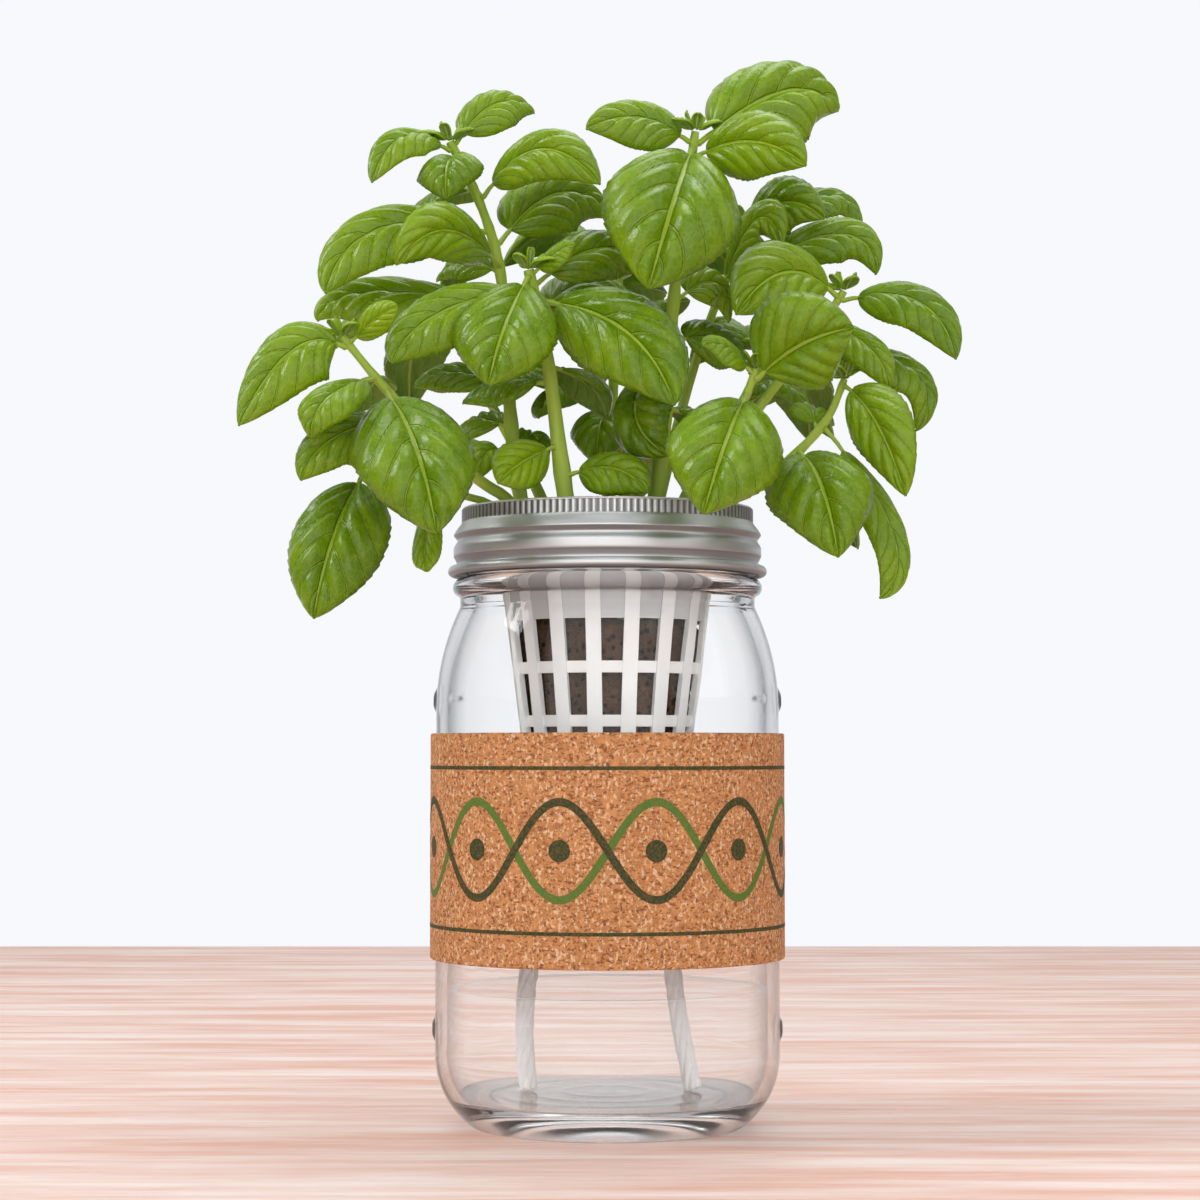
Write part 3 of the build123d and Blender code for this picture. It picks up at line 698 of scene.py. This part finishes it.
def leaf_material(name, dark, light, veins, gloss):
    """Leaf skin: blotches, sunk veins, a fine net of small veins and a pebbled surface."""
    shader = Shader(name)
    along = shader.attribute("along")
    aside = shader.attribute("aside")
    tone = shader.attribute("tone")
    off = shader.maths("ABSOLUTE", aside)
    slant = shader.between(along, 0.0, 1.0, LEAF_SLANT, LEAF_SLANT_FADE)
    slant = shader.maths("MULTIPLY", shader.maths("POWER", off, LEAF_SLANT_CURVE), slant)
    phase = shader.maths("MULTIPLY", shader.maths("SUBTRACT", along, slant), LEAF_VEINS)
    phase = shader.maths("ADD", phase, shader.maths("MULTIPLY", tone, LEAF_SHIFT))
    phase = shader.maths("ADD", phase, shader.maths("MULTIPLY", shader.maths("SIGN", aside), LEAF_ALTERNATE))
    # Side veins lie where the phase is a whole number, and fade towards the edge
    branch = shader.between(shader.maths("PINGPONG", phase, 0.5), 0.015, 0.06, 0.55, 0.0)
    branch = shader.maths("MULTIPLY", branch, shader.between(off, 0.7, 0.98, 1.0, 0.0))
    vein = shader.maths("MAXIMUM", branch, shader.between(off, 0.02, 0.05, 1.0, 0.0))
    place = shader.place()
    net = shader.cells(420, place, feature="DISTANCE_TO_EDGE")
    blotches = shader.noise(110, place, 5)
    pebbles = shader.cells(900, place)
    skin = shader.mix(tone, dark, light)
    skin = shader.mix(shader.between(blotches, 0.42, 0.7, 0.0, 0.45), skin, light)
    skin = shader.mix(shader.between(pebbles, 0.1, 0.6, 0.16, 0.0), skin, dark)
    skin = shader.mix(shader.between(net, 0.0, 0.09, 0.16, 0.0), skin, veins)
    shader.colour(shader.mix(shader.between(vein, 0.0, 1.0, 0.0, 0.55), skin, veins))
    shader.rough(shader.between(blotches, 0.3, 0.7, gloss, gloss + 0.12))
    shader.set(Subsurface_Weight=0.25, Subsurface_Radius=(0.7, 1.0, 0.2), Subsurface_Scale=0.0012)
    shader.set(Specular_IOR_Level=0.35)
    shader.bump(shader.between(net, 0.0, 0.12), 0.12, 0.0004)
    shader.bump(shader.between(vein, 0.0, 0.5, 1.0, 0.0), 0.8, 0.0008)
    shader.bump(shader.noise(260, place, 2), 0.14, 0.0012)
    return shader.material


def stem_material():
    """Pale juicy stem, greener towards the top, with fine streaks."""
    shader = Shader("basil_stem")
    rise = shader.between(shader.height(), 0.15, 0.27)
    streaks = shader.noise(420, shader.place((1, 1, 0.12)), 4)
    base = shader.mix(rise, (0.45, 0.59, 0.085), (0.32, 0.49, 0.03))
    base = shader.mix(shader.between(streaks, 0.4, 0.7, 0.0, 0.45), base, (0.56, 0.69, 0.15))
    shader.colour(base)
    shader.set(Roughness=0.42, Specular_IOR_Level=0.3)
    shader.set(Subsurface_Weight=0.2, Subsurface_Radius=(0.8, 1.0, 0.3), Subsurface_Scale=0.0015)
    shader.bump(streaks, 0.3, 0.0004)
    return shader.material


def camera():
    """Camera at the photograph's angle: level with the label's top and tilted up a little."""
    lens = bpy.data.cameras.new("camera")
    lens.lens = CAMERA_LENS
    lens.sensor_width = CAMERA_SENSOR
    made = placed("camera", lens)
    made.location = Vector((CAMERA_SIDE, -CAMERA_DISTANCE, CAMERA_HEIGHT)) * MM
    rise = atan2(CAMERA_AIM - CAMERA_HEIGHT, CAMERA_DISTANCE)
    made.rotation_euler = (pi / 2 + rise, 0, 0)
    bpy.context.scene.camera = made


def lamp(name, place, power, size):
    """Soft square lamp that faces the middle of the object."""
    light = bpy.data.lights.new(name, "AREA")
    light.energy = power
    light.size = size
    made = placed(name, light)
    made.location = place
    made.rotation_euler = (Vector((0, 0, LAMP_AIM)) - made.location).to_track_quat("-Z", "Y").to_euler()


def floor():
    """Pale table top with a wood grain that ends behind the object."""
    shader = Shader("floor")
    grain = shader.noise(6, shader.place((1, 9, 1)), 7, 0.68)
    shader.colour(shader.mix(shader.between(grain, 0.38, 0.62), (0.84, 0.48, 0.36), (1.0, 0.84, 0.78)))
    shader.set(Roughness=0.55)
    near, far, half = FLOOR_FRONT * MM, FLOOR_BACK * MM, FLOOR_HALF * MM
    mesh = bpy.data.meshes.new("floor")
    mesh.from_pydata([(-half, near, 0), (half, near, 0), (half, far, 0), (-half, far, 0)], [], [(0, 1, 2, 3)])
    mesh.materials.append(shader.material)
    made = placed("floor", mesh)


def surroundings():
    """Pale backdrop for the camera. For the object, a room that is bright behind and dim elsewhere."""
    world = bpy.data.worlds.new("surroundings")
    bpy.context.scene.world = world
    world.use_nodes = True
    room = Nodes(world.node_tree)
    toward = room.split(room.add("TexCoord").outputs["Generated"])
    depth = room.between(toward["Y"], -0.2, 0.8, 0.2, 1.0)
    flank = room.between(room.maths("ABSOLUTE", toward["X"]), 0.45, 0.85, 1.0, 0.25)
    rays = room.add("LightPath").outputs
    shown = room.maths("MAXIMUM", room.maths("MULTIPLY", depth, flank), rays["Is Camera Ray"])
    spread = room.between(rays["Is Diffuse Ray"], 0.0, 1.0, 1.0, ROOM_LIGHT)
    background = world.node_tree.nodes["Background"]
    room.link(room.maths("MULTIPLY", shown, spread), background.inputs["Strength"])
    background.inputs["Color"].default_value = (0.93, 0.945, 0.98, 1)


def route(name):
    """Points of a wick, in metres, from the cup's floor to the jar's floor."""
    side, runs = WICK_RUNS[name]
    length = CUP_FLOOR_Z - BASE_THICKNESS - WICK_FLOOR_GAP
    return [Vector((side * (WICK_HOLE_OFFSET + out), back, CUP_FLOOR_Z - share * length)) * MM
            for out, back, share in runs]


def smooth_line(points):
    """Points read from a NURBS spline that has the given points as its control points."""
    curve = bpy.data.curves.new("line", "CURVE")
    curve.dimensions = "3D"
    curve.resolution_u = 24
    spline = curve.splines.new("NURBS")
    spline.points.add(len(points) - 1)
    for control, place in zip(spline.points, points):
        control.co = (*place, 1)
    spline.order_u = 3
    spline.use_endpoint_u = True
    holder = bpy.data.objects.new("line", curve)
    mesh = bpy.data.meshes.new_from_object(holder)
    line = np.array([vertex.co for vertex in mesh.vertices])
    bpy.data.objects.remove(holder)
    bpy.data.curves.remove(curve)
    bpy.data.meshes.remove(mesh)
    return line


def wick(name, material):
    """Limp cotton cord of loosely twisted strands."""
    points = route(name)
    line = smooth_line(points) / MM
    steps = np.linalg.norm(np.diff(line, axis=0), axis=1)
    travel = np.concatenate(([0.0], np.cumsum(steps)))
    along = unit(np.gradient(line, axis=0))
    across = unit(np.cross(along, (0.0, 1.0, 0.0)))
    other = np.cross(along, across)
    strand_r = WICK_DIA / 2 * STRAND_SHARE
    lay_r = WICK_DIA / 2 - strand_r
    strands = []
    for k in range(WICK_STRANDS):
        angle = (2 * pi * (travel / WICK_LAY + k / WICK_STRANDS))[:, None]
        path = line + (across * np.cos(angle) + other * np.sin(angle)) * lay_r
        fuzz = [strand_r * (1 + STRAND_FUZZ * noise.noise(Vector(p) * 0.8)) for p in path]
        strands.append(tube(path, fuzz, 14))
    made = piece(name + "_yarn", joined(strands), [material], "cup", name)


def jar_relief(bearing, r, z):
    """What stands out of the turned jar: small ovals and bars on the flanks and the screw thread."""
    out = 0.0
    if r > JAR_R - BODY_SLACK:
        aside = r * min(abs(sin(bearing / 2)), abs(cos(bearing / 2))) * 2
        for height in MARK_HEIGHTS:
            out += MARK_RELIEF * exp(-(aside / MARK_HALF_WIDTH) ** 4 - ((z - height) / MARK_HALF_HEIGHT) ** 4)
        along = r * radians(abs(abs(degrees(bearing) - 270) - 90 + BAR_TURN))
        out += BAR_RELIEF * exp(-(along / BAR_HALF) ** 6 - ((z - MARK_HEIGHTS[0]) / BAR_HALF_HEIGHT) ** 2)
    if abs(r - FINISH_R) < FINISH_SLACK and z > BEAD_TOP_Z:
        for turn in (bearing / (2 * pi), bearing / (2 * pi) + 1):
            gap = abs(z - (JAR_HEIGHT - THREAD_TOP_DROP - THREAD_PITCH * turn))
            flank = (THREAD_ROOT_HEIGHT / 2 - gap) / (THREAD_ROOT_HEIGHT - THREAD_CREST_HEIGHT) * 2
            run_out = min(turn, THREAD_TURNS - turn) / THREAD_RUN_OUT
            out = max(out, THREAD_DEPTH * min(1.0, flank, run_out))
    return out


def floor_rings(z):
    """Shallow rounded rings on the floor inside the jar, from the outer one in."""
    points = []
    for r in FLOOR_RINGS:
        points += [(r + out, z + share * FLOOR_RING_RELIEF) for out, share in FLOOR_RING_SECTION]
    return points


def glass_jar(material):
    """Jar turned from its section, outside and inside."""
    heel = (JAR_R - HEEL_RADIUS, HEEL_HEIGHT)
    foot_r = heel[0] + sqrt(HEEL_RADIUS ** 2 - HEEL_HEIGHT ** 2)
    foot_turn = degrees(asin(HEEL_HEIGHT / HEEL_RADIUS))
    shoulder = (JAR_R - SHOULDER_RADIUS, SHOULDER_Z)
    inner_shoulder = SHOULDER_RADIUS - JAR_WALL
    inner_heel = HEEL_RADIUS - JAR_WALL
    floor_turn = degrees(asin((HEEL_HEIGHT - BASE_THICKNESS) / inner_heel))
    floor_r = heel[0] + inner_heel * cos(radians(floor_turn))
    neck_turn = degrees(acos((NECK_R - shoulder[0]) / SHOULDER_RADIUS))
    throat_turn = degrees(acos((MOUTH_R - shoulder[0]) / inner_shoulder))
    wall_r = JAR_R - JAR_WALL
    neck_z = SHOULDER_Z + SHOULDER_RADIUS * sin(radians(neck_turn))
    bead_low = BEAD_TOP_Z - BEAD_HEIGHT
    bead_z = BEAD_TOP_Z - BEAD_HEIGHT / 2
    ring_in = foot_r - FOOT_RING_WIDTH
    floor_z = BASE_THICKNESS
    section = softened(
        [(0, FOOT_RECESS)] + run((4, FOOT_RECESS), (ring_in - FOOT_RECESS, FOOT_RECESS), 6)
        + run((ring_in, 0), (foot_r, 0), 1.5)
        + arc(heel, HEEL_RADIUS, -foot_turn, 0)[1:]
        + run((JAR_R, HEEL_HEIGHT + 1), (JAR_R, SHOULDER_Z - 1), 1.4)
        + arc(shoulder, SHOULDER_RADIUS, 0, neck_turn)
        + run((NECK_R, neck_z + 0.8), (NECK_R, bead_low - 0.3), 0.7)
        + arc((BEAD_R - BEAD_HEIGHT / 2, bead_z), BEAD_HEIGHT / 2, -70, 85)
        + run((FINISH_R, BEAD_TOP_Z + 0.5), (FINISH_R, JAR_HEIGHT - 1.5), 0.4)
        + [(FINISH_R - 0.4, JAR_HEIGHT - 0.4), (FINISH_R - 1.2, JAR_HEIGHT)]
        + [(MOUTH_R + 0.8, JAR_HEIGHT), (MOUTH_R, JAR_HEIGHT - 0.8)]
        + run((MOUTH_R, JAR_HEIGHT - 3), (MOUTH_R, BEAD_TOP_Z - 4), 4)
        + arc(shoulder, inner_shoulder, throat_turn, 0)
        + run((wall_r, SHOULDER_Z - 3), (wall_r, HEEL_HEIGHT + 3), 5)
        + arc(heel, inner_heel, 0, -floor_turn)
        + [(floor_r - 2, floor_z)] + floor_rings(floor_z) + [(0, floor_z)])
    shape = turned(section, JAR_SEGMENTS, shape=jar_relief)
    piece("glass_jar_shell", shape, [material], "jar", "glass_jar")


def water(material, rim_highlight_material):
    """Water in the foot of the jar, and its rim where it climbs the glass, whitened as a painted highlight.
    """
    edge = JAR_R - JAR_WALL - WATER_GAP
    heel_reach = HEEL_RADIUS - JAR_WALL - WATER_GAP
    floor_z = BASE_THICKNESS + FLOOR_RING_RELIEF + WATER_GAP
    floor_turn = degrees(asin((HEEL_HEIGHT - floor_z) / heel_reach))
    side = arc((JAR_R - HEEL_RADIUS, HEEL_HEIGHT), heel_reach, -floor_turn, 0)
    top = [(r, WATER_Z + MENISCUS_RISE * exp(-(edge - r) / MENISCUS_REACH)) for r in np.linspace(edge, 4, 40)]
    body = turned([(0, floor_z)] + side + top + [(0, WATER_Z)], WATER_SEGMENTS)
    piece("water", body, [material], "jar")
    # Painted highlight: a whiter, less clear ring lies just over the water's edge
    rim = [(r, z + RIM_LIFT) for r, z in top if r > edge - MENISCUS_REACH]
    piece("water_rim_painted_highlight", turned(rim, WATER_SEGMENTS), [rim_highlight_material], "jar")


def knurl(bearing, r, z):
    """Fine flutes round the band's top edge."""
    low = BAND_TOP_Z - BAND_SHEET - KNURL_HEIGHT
    if abs(r - KNURL_R) > KNURL_SLACK or not low < z < BAND_TOP_Z:
        return 0.0
    return -KNURL_DEPTH * (0.5 - 0.5 * cos(KNURL_COUNT * bearing)) ** 0.7


def screw_band(material):
    """Rolled metal ring: curled edge, rib, waist, cone, knurled edge and lid, then back down inside."""
    top = BAND_TOP_Z
    knurl_low = top - BAND_SHEET - KNURL_HEIGHT
    cone_low = knurl_low - BAND_SHOULDER_HEIGHT
    waist_z = cone_low - BAND_WAIST_HEIGHT / 2
    rib_top = cone_low - BAND_WAIST_HEIGHT
    rib_low = rib_top - BAND_RIB_HEIGHT
    curl = (WAIST_R + CURL_RADIUS - BAND_SHEET / 2, top - BAND_HEIGHT + CURL_RADIUS)
    inner = WAIST_R - BAND_SHEET
    knurl_in = KNURL_R - KNURL_DEPTH - BAND_SHEET
    section = softened(
        arc(curl, CURL_RADIUS, -150, 110, 18)
        + [(WAIST_R, curl[1] + CURL_RADIUS + 0.3), (BULGE_R - 0.4, rib_low), (BULGE_R, rib_low + 0.6)]
        + [(BULGE_R, (rib_low + rib_top) / 2), (BULGE_R, rib_top - 0.6), (BULGE_R - 0.3, rib_top + 0.1)]
        + [(WAIST_R + 0.1, waist_z - 0.3), (WAIST_R + 0.1, waist_z + 0.3), (BULGE_R - 0.3, cone_low - 0.2)]
        + [(BULGE_R, cone_low + 0.2), (BULGE_R - 0.4, cone_low + 0.9)]
        + [((BULGE_R + KNURL_R) / 2 + 0.2, (cone_low + knurl_low) / 2), (KNURL_R + 0.2, knurl_low - 0.3)]
        + run((KNURL_R, knurl_low + 0.2), (KNURL_R, top - 0.7), 0.5)
        + [(KNURL_R - 0.3, top - 0.2), (KNURL_R - 0.9, top)]
        + run((KNURL_R - 1.6, top), (BAND_OPENING_R + 0.4, top), 0.8)
        + [(BAND_OPENING_R, top - BAND_SHEET / 2), (BAND_OPENING_R + 0.4, top - BAND_SHEET)]
        + [(knurl_in - 0.4, top - BAND_SHEET), (knurl_in, top - BAND_SHEET - 0.4), (knurl_in, knurl_low)]
        + [(inner, cone_low), (inner, waist_z), (inner, rib_low)], 2, closed=True)
    shape = turned(section, 4 * KNURL_COUNT, closed=True, shape=knurl)
    piece("screw_band_shell", shape, [material], "band", "screw_band")


def cup_inside(z):
    return CUP_MOUTH_R - (JAR_HEIGHT - z) * CUP_SLOPE - CUP_WALL


def growing_plug(material):
    """Sponge plug with a lumpy side and a wavy top."""
    low_r = cup_inside(CUP_FLOOR_Z) - PLUG_CLEARANCE
    top_r = cup_inside(PLUG_TOP_Z) - PLUG_CLEARANCE
    edge_r = top_r - PLUG_EDGE_ROUND
    side_r = top_r - PLUG_EDGE_ROUND * CUP_SLOPE
    section = softened(
        [(0, CUP_FLOOR_Z)] + run((2, CUP_FLOOR_Z), (low_r, CUP_FLOOR_Z), 3)
        + run((low_r, CUP_FLOOR_Z + 1), (side_r, PLUG_TOP_Z - PLUG_EDGE_ROUND), 0.9)
        + run((edge_r, PLUG_TOP_Z), (1, PLUG_TOP_Z), 0.9) + [(0, PLUG_TOP_Z)], 1)
    verts, faces = turned(section, PLUG_SEGMENTS)
    lumpy = []
    for x, y, z in verts:
        place = Vector((x, y, z))
        lump = PLUG_LUMP * (noise.noise(place * 0.45) + 0.6 * noise.noise(place * 1.1) - 0.8)
        share = max(0.0, 1 + lump / low_r)
        top_share = max(0.0, (z - PLUG_TOP_Z + PLUG_WAVE_DEPTH) / PLUG_WAVE_DEPTH)
        wave = PLUG_WAVE * (noise.noise(place * 0.11) + 0.5 + 0.35 * noise.noise(place * 0.5)) * top_share
        lumpy.append((x * share, y * share, z + wave))
    piece("growing_plug_sponge", (lumpy, faces), [material], "plant", "growing_plug")


def cork_label(material):
    """Thin sheet wrapped round the jar, with soft edges and its seam at the back."""
    low, high = LABEL_BOTTOM, LABEL_BOTTOM + LABEL_HEIGHT
    corner = LABEL_ROUND
    edge = (run((LABEL_OUT_R, low + corner), (LABEL_OUT_R, high - corner), 3)
            + arc((LABEL_OUT_R - corner, high - corner), corner, 0, 90, 4)[1:]
            + [(LABEL_IN_R, high), (LABEL_IN_R, low)]
            + arc((LABEL_OUT_R - corner, low + corner), corner, -90, 0, 4)[:-1])
    half_gap = LABEL_SEAM / 2 / LABEL_OUT_R
    verts = []
    for bearing in np.linspace(pi / 2 + half_gap, 5 * pi / 2 - half_gap, LABEL_COLUMNS):
        verts.extend([(r * cos(bearing), r * sin(bearing), z) for r, z in edge])
    size = len(edge)
    faces = [tuple(range(size)), tuple(range((LABEL_COLUMNS - 1) * size, LABEL_COLUMNS * size))[::-1]]
    faces += flipped(grid(LABEL_COLUMNS, size, wrap=True))
    piece("cork_label_sheet", (verts, faces), [material], "jar", "cork_label")


def ribbon(height, half_width, lift, steps=720):
    """Narrow printed strip round the label. Its height and half width are given for each bearing."""
    half_gap = LABEL_SEAM / LABEL_OUT_R
    r = LABEL_OUT_R + lift
    verts = []
    for bearing in np.linspace(pi / 2 + half_gap, 5 * pi / 2 - half_gap, steps):
        for side in (-1, 1):
            verts.append((r * cos(bearing), r * sin(bearing), height(bearing) + side * half_width(bearing)))
    return verts, flipped(grid(steps, 2))


def dot(bearing, z, radius):
    """Small printed disc on the label."""
    r = LABEL_OUT_R + PRINT_LIFT
    verts = [(r * cos(bearing), r * sin(bearing), z)]
    for k in range(DOT_SIDES):
        angle = 2 * pi * k / DOT_SIDES
        turn = bearing + radius * cos(angle) / r
        verts.append((r * cos(turn), r * sin(turn), z + radius * sin(angle)))
    return verts, [(0, k + 1, (k + 1) % DOT_SIDES + 1) for k in range(DOT_SIDES)]


def ornament(dark_ink, green_ink):
    """Plain twist of two ribbons with dots in its eyes, between two rules."""
    middle = LABEL_BOTTOM + LABEL_HEIGHT / 2
    front = -pi / 2
    strips = []
    for phase, lift in ((0, PRINT_LIFT), (pi, 1.6 * PRINT_LIFT)):
        strips.append(ribbon(
            lambda b, p=phase: middle + ORNAMENT_SWING * sin(ORNAMENT_REPEATS * (b - front) / 2 + p),
            lambda b: RIBBON_HALF + RIBBON_SWELL * cos(ORNAMENT_REPEATS * (b - front) / 2) ** 2, lift))
    piece("label_twist_green", strips[0], [green_ink], "jar")
    eyes = []
    for k in range(ORNAMENT_REPEATS):
        bearing = front + (k + 0.5) * 2 * pi / ORNAMENT_REPEATS
        if abs(cos(bearing / 2 - pi / 4)) < 0.99:
            eyes.append(dot(bearing, middle, DOT_R))
    heights = (middle - RULE_OFFSET, middle + RULE_OFFSET)
    rules = [ribbon(lambda b, z=z: z, lambda b: RULE_HALF, PRINT_LIFT) for z in heights]
    piece("label_twist_dark", joined(strips[1:] + eyes + rules), [dark_ink], "jar")


def over_lip(point):
    return np.array((point[0], point[1], JAR_HEIGHT + point[2]), float)


def stem_points(shoot):
    """Middle line of a stem: its foot on the plug, the cup's mouth, then its points over the jar's lip."""
    foot_radius, _, foot, mouth, further, _ = SHOOTS[shoot]
    foot_reach = cup_inside(PLUG_TOP_Z) - PLUG_CLEARANCE - PLUG_EDGE_ROUND - foot_radius
    mouth_reach = cup_inside(JAR_HEIGHT) - foot_radius - STEM_MARGIN
    points = [np.array((foot[0] * foot_reach, foot[1] * foot_reach, PLUG_TOP_Z)),
              np.array((mouth[0] * mouth_reach, mouth[1] * mouth_reach, BAND_TOP_Z))]
    return points + [over_lip(point) for point in further]


def stem_radius(shoot, z):
    foot_radius, top_radius = SHOOTS[shoot][:2]
    points = stem_points(shoot)
    share = (z - points[0][2]) / (points[-1][2] - points[0][2])
    return foot_radius + (top_radius - foot_radius) * share


def on_stem(shoot, up):
    """Point on a stem's middle line at a height over the jar's lip, and the stem's direction there."""
    z = JAR_HEIGHT + up
    points = stem_points(shoot)
    for low, high in zip(points, points[1:]):
        if low[2] <= z <= high[2]:
            return low + (high - low) * ((z - low[2]) / (high[2] - low[2])), unit(high - low)


def leaf_line(base, middle, tip, lean, u):
    """Points along a leaf's middle line at the shares u, with the side and upward directions there."""
    control = middle * 2 - (base + tip) * 0.5
    rise = middle - (base + tip) * 0.5
    u = np.asarray(u)[:, None]
    centre = base * (1 - u) ** 2 + control * (2 * u * (1 - u)) + tip * u ** 2
    ahead = unit((control - base) * (1 - u) + (tip - control) * u)
    normal = unit(rise - ahead * (ahead @ rise)[:, None])
    side = np.cross(ahead, normal)
    front = side * np.where(side[len(side) // 2, 1] < 0, 1, -1)
    normal = normal * cos(radians(lean)) + front * sin(radians(lean))
    return centre, np.cross(ahead, normal), normal


def leaf_base(shoot, up, middle):
    """Where a leaf leaves its stem, and where its petiole starts."""
    root, along = on_stem(shoot, up)
    out = middle - root
    out = unit(out - along * out.dot(along))
    return root, root + out * (stem_radius(shoot, root[2]) + PETIOLE_GAP)


def blade(base, middle, tip, width, lean, tone):
    """Leaf blade with swollen halves, a sunk midrib and a toothed edge. Also where each point lies on it."""
    share = np.linspace(0, 1, LEAF_ROWS)
    centre, side, normal = leaf_line(base, middle, tip, lean, PETIOLE_SHARE + (1 - PETIOLE_SHARE) * share)
    half = width / 2 * (share / LEAF_WIDEST) ** LEAF_FOOT_POWER
    half = half * ((1 - share) / (1 - LEAF_WIDEST)) ** LEAF_TIP_POWER
    half = np.maximum(half, np.where(share < 0.5, 0.5, 0.05))[:, None]
    even = np.linspace(-1, 1, LEAF_COLUMNS)[None, :]
    v = np.sign(even) * np.abs(even) ** 1.25
    off = np.abs(v)
    share = share[:, None]
    teeth = 1 - LEAF_TOOTH * ((share * LEAF_TEETH) % 1.0) * off ** 8 * np.minimum(1, share * 4)
    across = v * half * teeth
    slant = (LEAF_SLANT + (LEAF_SLANT_FADE - LEAF_SLANT) * share) * off ** LEAF_SLANT_CURVE
    phase = (share - slant) * LEAF_VEINS + LEAF_ALTERNATE * np.sign(v) + LEAF_SHIFT * tone
    gap = np.abs(phase - np.round(phase))
    swell = np.sin(pi * gap) ** 0.8 * np.minimum(1, off * 5) * (1 - off ** 5) * np.sin(pi * share) ** 0.4
    swelling = half * np.sin(pi * off ** 0.8)
    wave = np.sin(2 * pi * (1.3 * share + 9 * tone) + np.sign(v) * 1.2) * off ** 3 * np.sin(pi * share)
    curl = np.maximum(0, off - LEAF_CURL_START) ** 2 * half * LEAF_CURL
    height = LEAF_QUILT * width * swell + LEAF_CUP * swelling + LEAF_WAVE * width * wave
    height = height - LEAF_DOME * half * v ** 2 - curl
    verts = centre[:, None] + side[:, None] * across[..., None] + normal[:, None] * height[..., None]
    along, aside = np.broadcast_arrays(share, v)
    shape = verts.reshape(-1, 3), grid(LEAF_ROWS, LEAF_COLUMNS)
    return shape, along.reshape(-1), aside.reshape(-1)


def bud(top, chance):
    """Young leaves round the tip of a stem, the smaller ones further in."""
    made = []
    turn = chance.random() * 2 * pi
    for k in range(BUD_LEAVES):
        angle = turn + k * BUD_TURN
        out = np.array((cos(angle), sin(angle), 0.0))
        reach = BUD_REACH * (1 - 0.11 * k)
        middle = top + out * reach * 0.55 + UP * (2.2 + 0.5 * k)
        tip = top + out * reach * (1.1 - 0.09 * k) + UP * (2.0 + 0.7 * k)
        made.append((top + out * 0.4, middle, tip, 0.62 * reach, 0))
    return made


def shoot_pieces(shoot, materials):
    """Stem with its petioles and ribs as one piece, and its leaves as another."""
    upper, under, green = materials
    chance = random.Random(shoot)
    line = np.array(softened([tuple(p) for p in stem_points(shoot)], 3))
    line[0, 2] -= STEM_SINK
    heights = [JAR_HEIGHT + item[0] for item in SHOOTS[shoot][5]]
    radii = []
    for point in line:
        knot = max(exp(-((point[2] - z) / KNOT_REACH) ** 2) for z in heights)
        radii.append(stem_radius(shoot, point[2]) * (1 + KNOT_SWELL * knot))
    stalks = [tube(line, radii, 16, STEM_SQUARE)]
    leaves = []
    for up, middle, tip, width, lean in SHOOTS[shoot][5]:
        middle = over_lip(middle)
        root, base = leaf_base(shoot, up, middle)
        leaves.append((base, middle, over_lip(tip), width, lean))
        centre, _, normal = leaf_line(base, middle, over_lip(tip), lean, RIB_PLACES)
        thick = (0.45 + 0.016 * width) * RIB_TAPER
        sink = (thick[1:] * RIB_SINK)[:, None]
        stalks.append(tube(np.vstack((root, centre - normal * sink)), thick, 8))
    piece("stem_" + shoot + "_stalks", joined(stalks), [green], "plant", "stem_" + shoot)
    leaves += bud(line[-1], chance)
    blades = []
    places = {"along": [], "aside": [], "tone": []}
    for base, middle, tip, width, lean in leaves:
        young = max(0.0, (YOUNG_WIDTH - width) / YOUNG_WIDTH)
        tone = min(1.0, 0.55 * chance.random() + 0.75 * young)
        shape, along, aside = blade(base, middle, tip, width, lean, tone)
        blades.append(shape)
        places["along"].extend(along)
        places["aside"].extend(aside)
        places["tone"].extend([tone] * len(along))
    node = "leaves_" + shoot
    made = piece(node + "_blades", joined(blades), [upper, under], "plant", node)
    for name, values in places.items():
        stored = made.data.attributes.new(name, "FLOAT", "POINT")
        stored.data.foreach_set("value", np.array(values, np.float32))
    shell = made.modifiers.new("thickness", "SOLIDIFY")
    shell.thickness = LEAF_THICKNESS * MM
    shell.offset = -1
    shell.material_offset = 1


camera()
cotton = cotton_material()
for name in WICK_RUNS:
    wick(name, cotton)
glass_jar(glass_material())
# Water, and its rim drawn as a painted highlight
water(water_material("water", 0.1), water_material("water_rim_painted_highlight", 0.55))
screw_band(metal_material())
cup_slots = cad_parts["net_cup"].data.materials
cup_slots.clear()
cup_slots.append(plastic_material())
growing_plug(sponge_material())
cork_label(cork_material())
ornament(print_material("dark_ink", (0.030, 0.055, 0.016)), print_material("green_ink", (0.085, 0.20, 0.030)))
basil = (
    leaf_material("basil_leaf_upper", (0.095, 0.205, 0.001), (0.300, 0.470, 0.006), (0.46, 0.61, 0.05), 0.22),
    leaf_material("basil_leaf_under", (0.180, 0.300, 0.040), (0.270, 0.420, 0.070), (0.42, 0.55, 0.15), 0.5),
    stem_material(),
)
for shoot in SHOOTS:
    shoot_pieces(shoot, basil)

floor()
surroundings()
for name, (place, power, size) in LAMPS.items():
    lamp(name, place, power, size)
bpy.context.scene.view_settings.view_transform = "Standard"
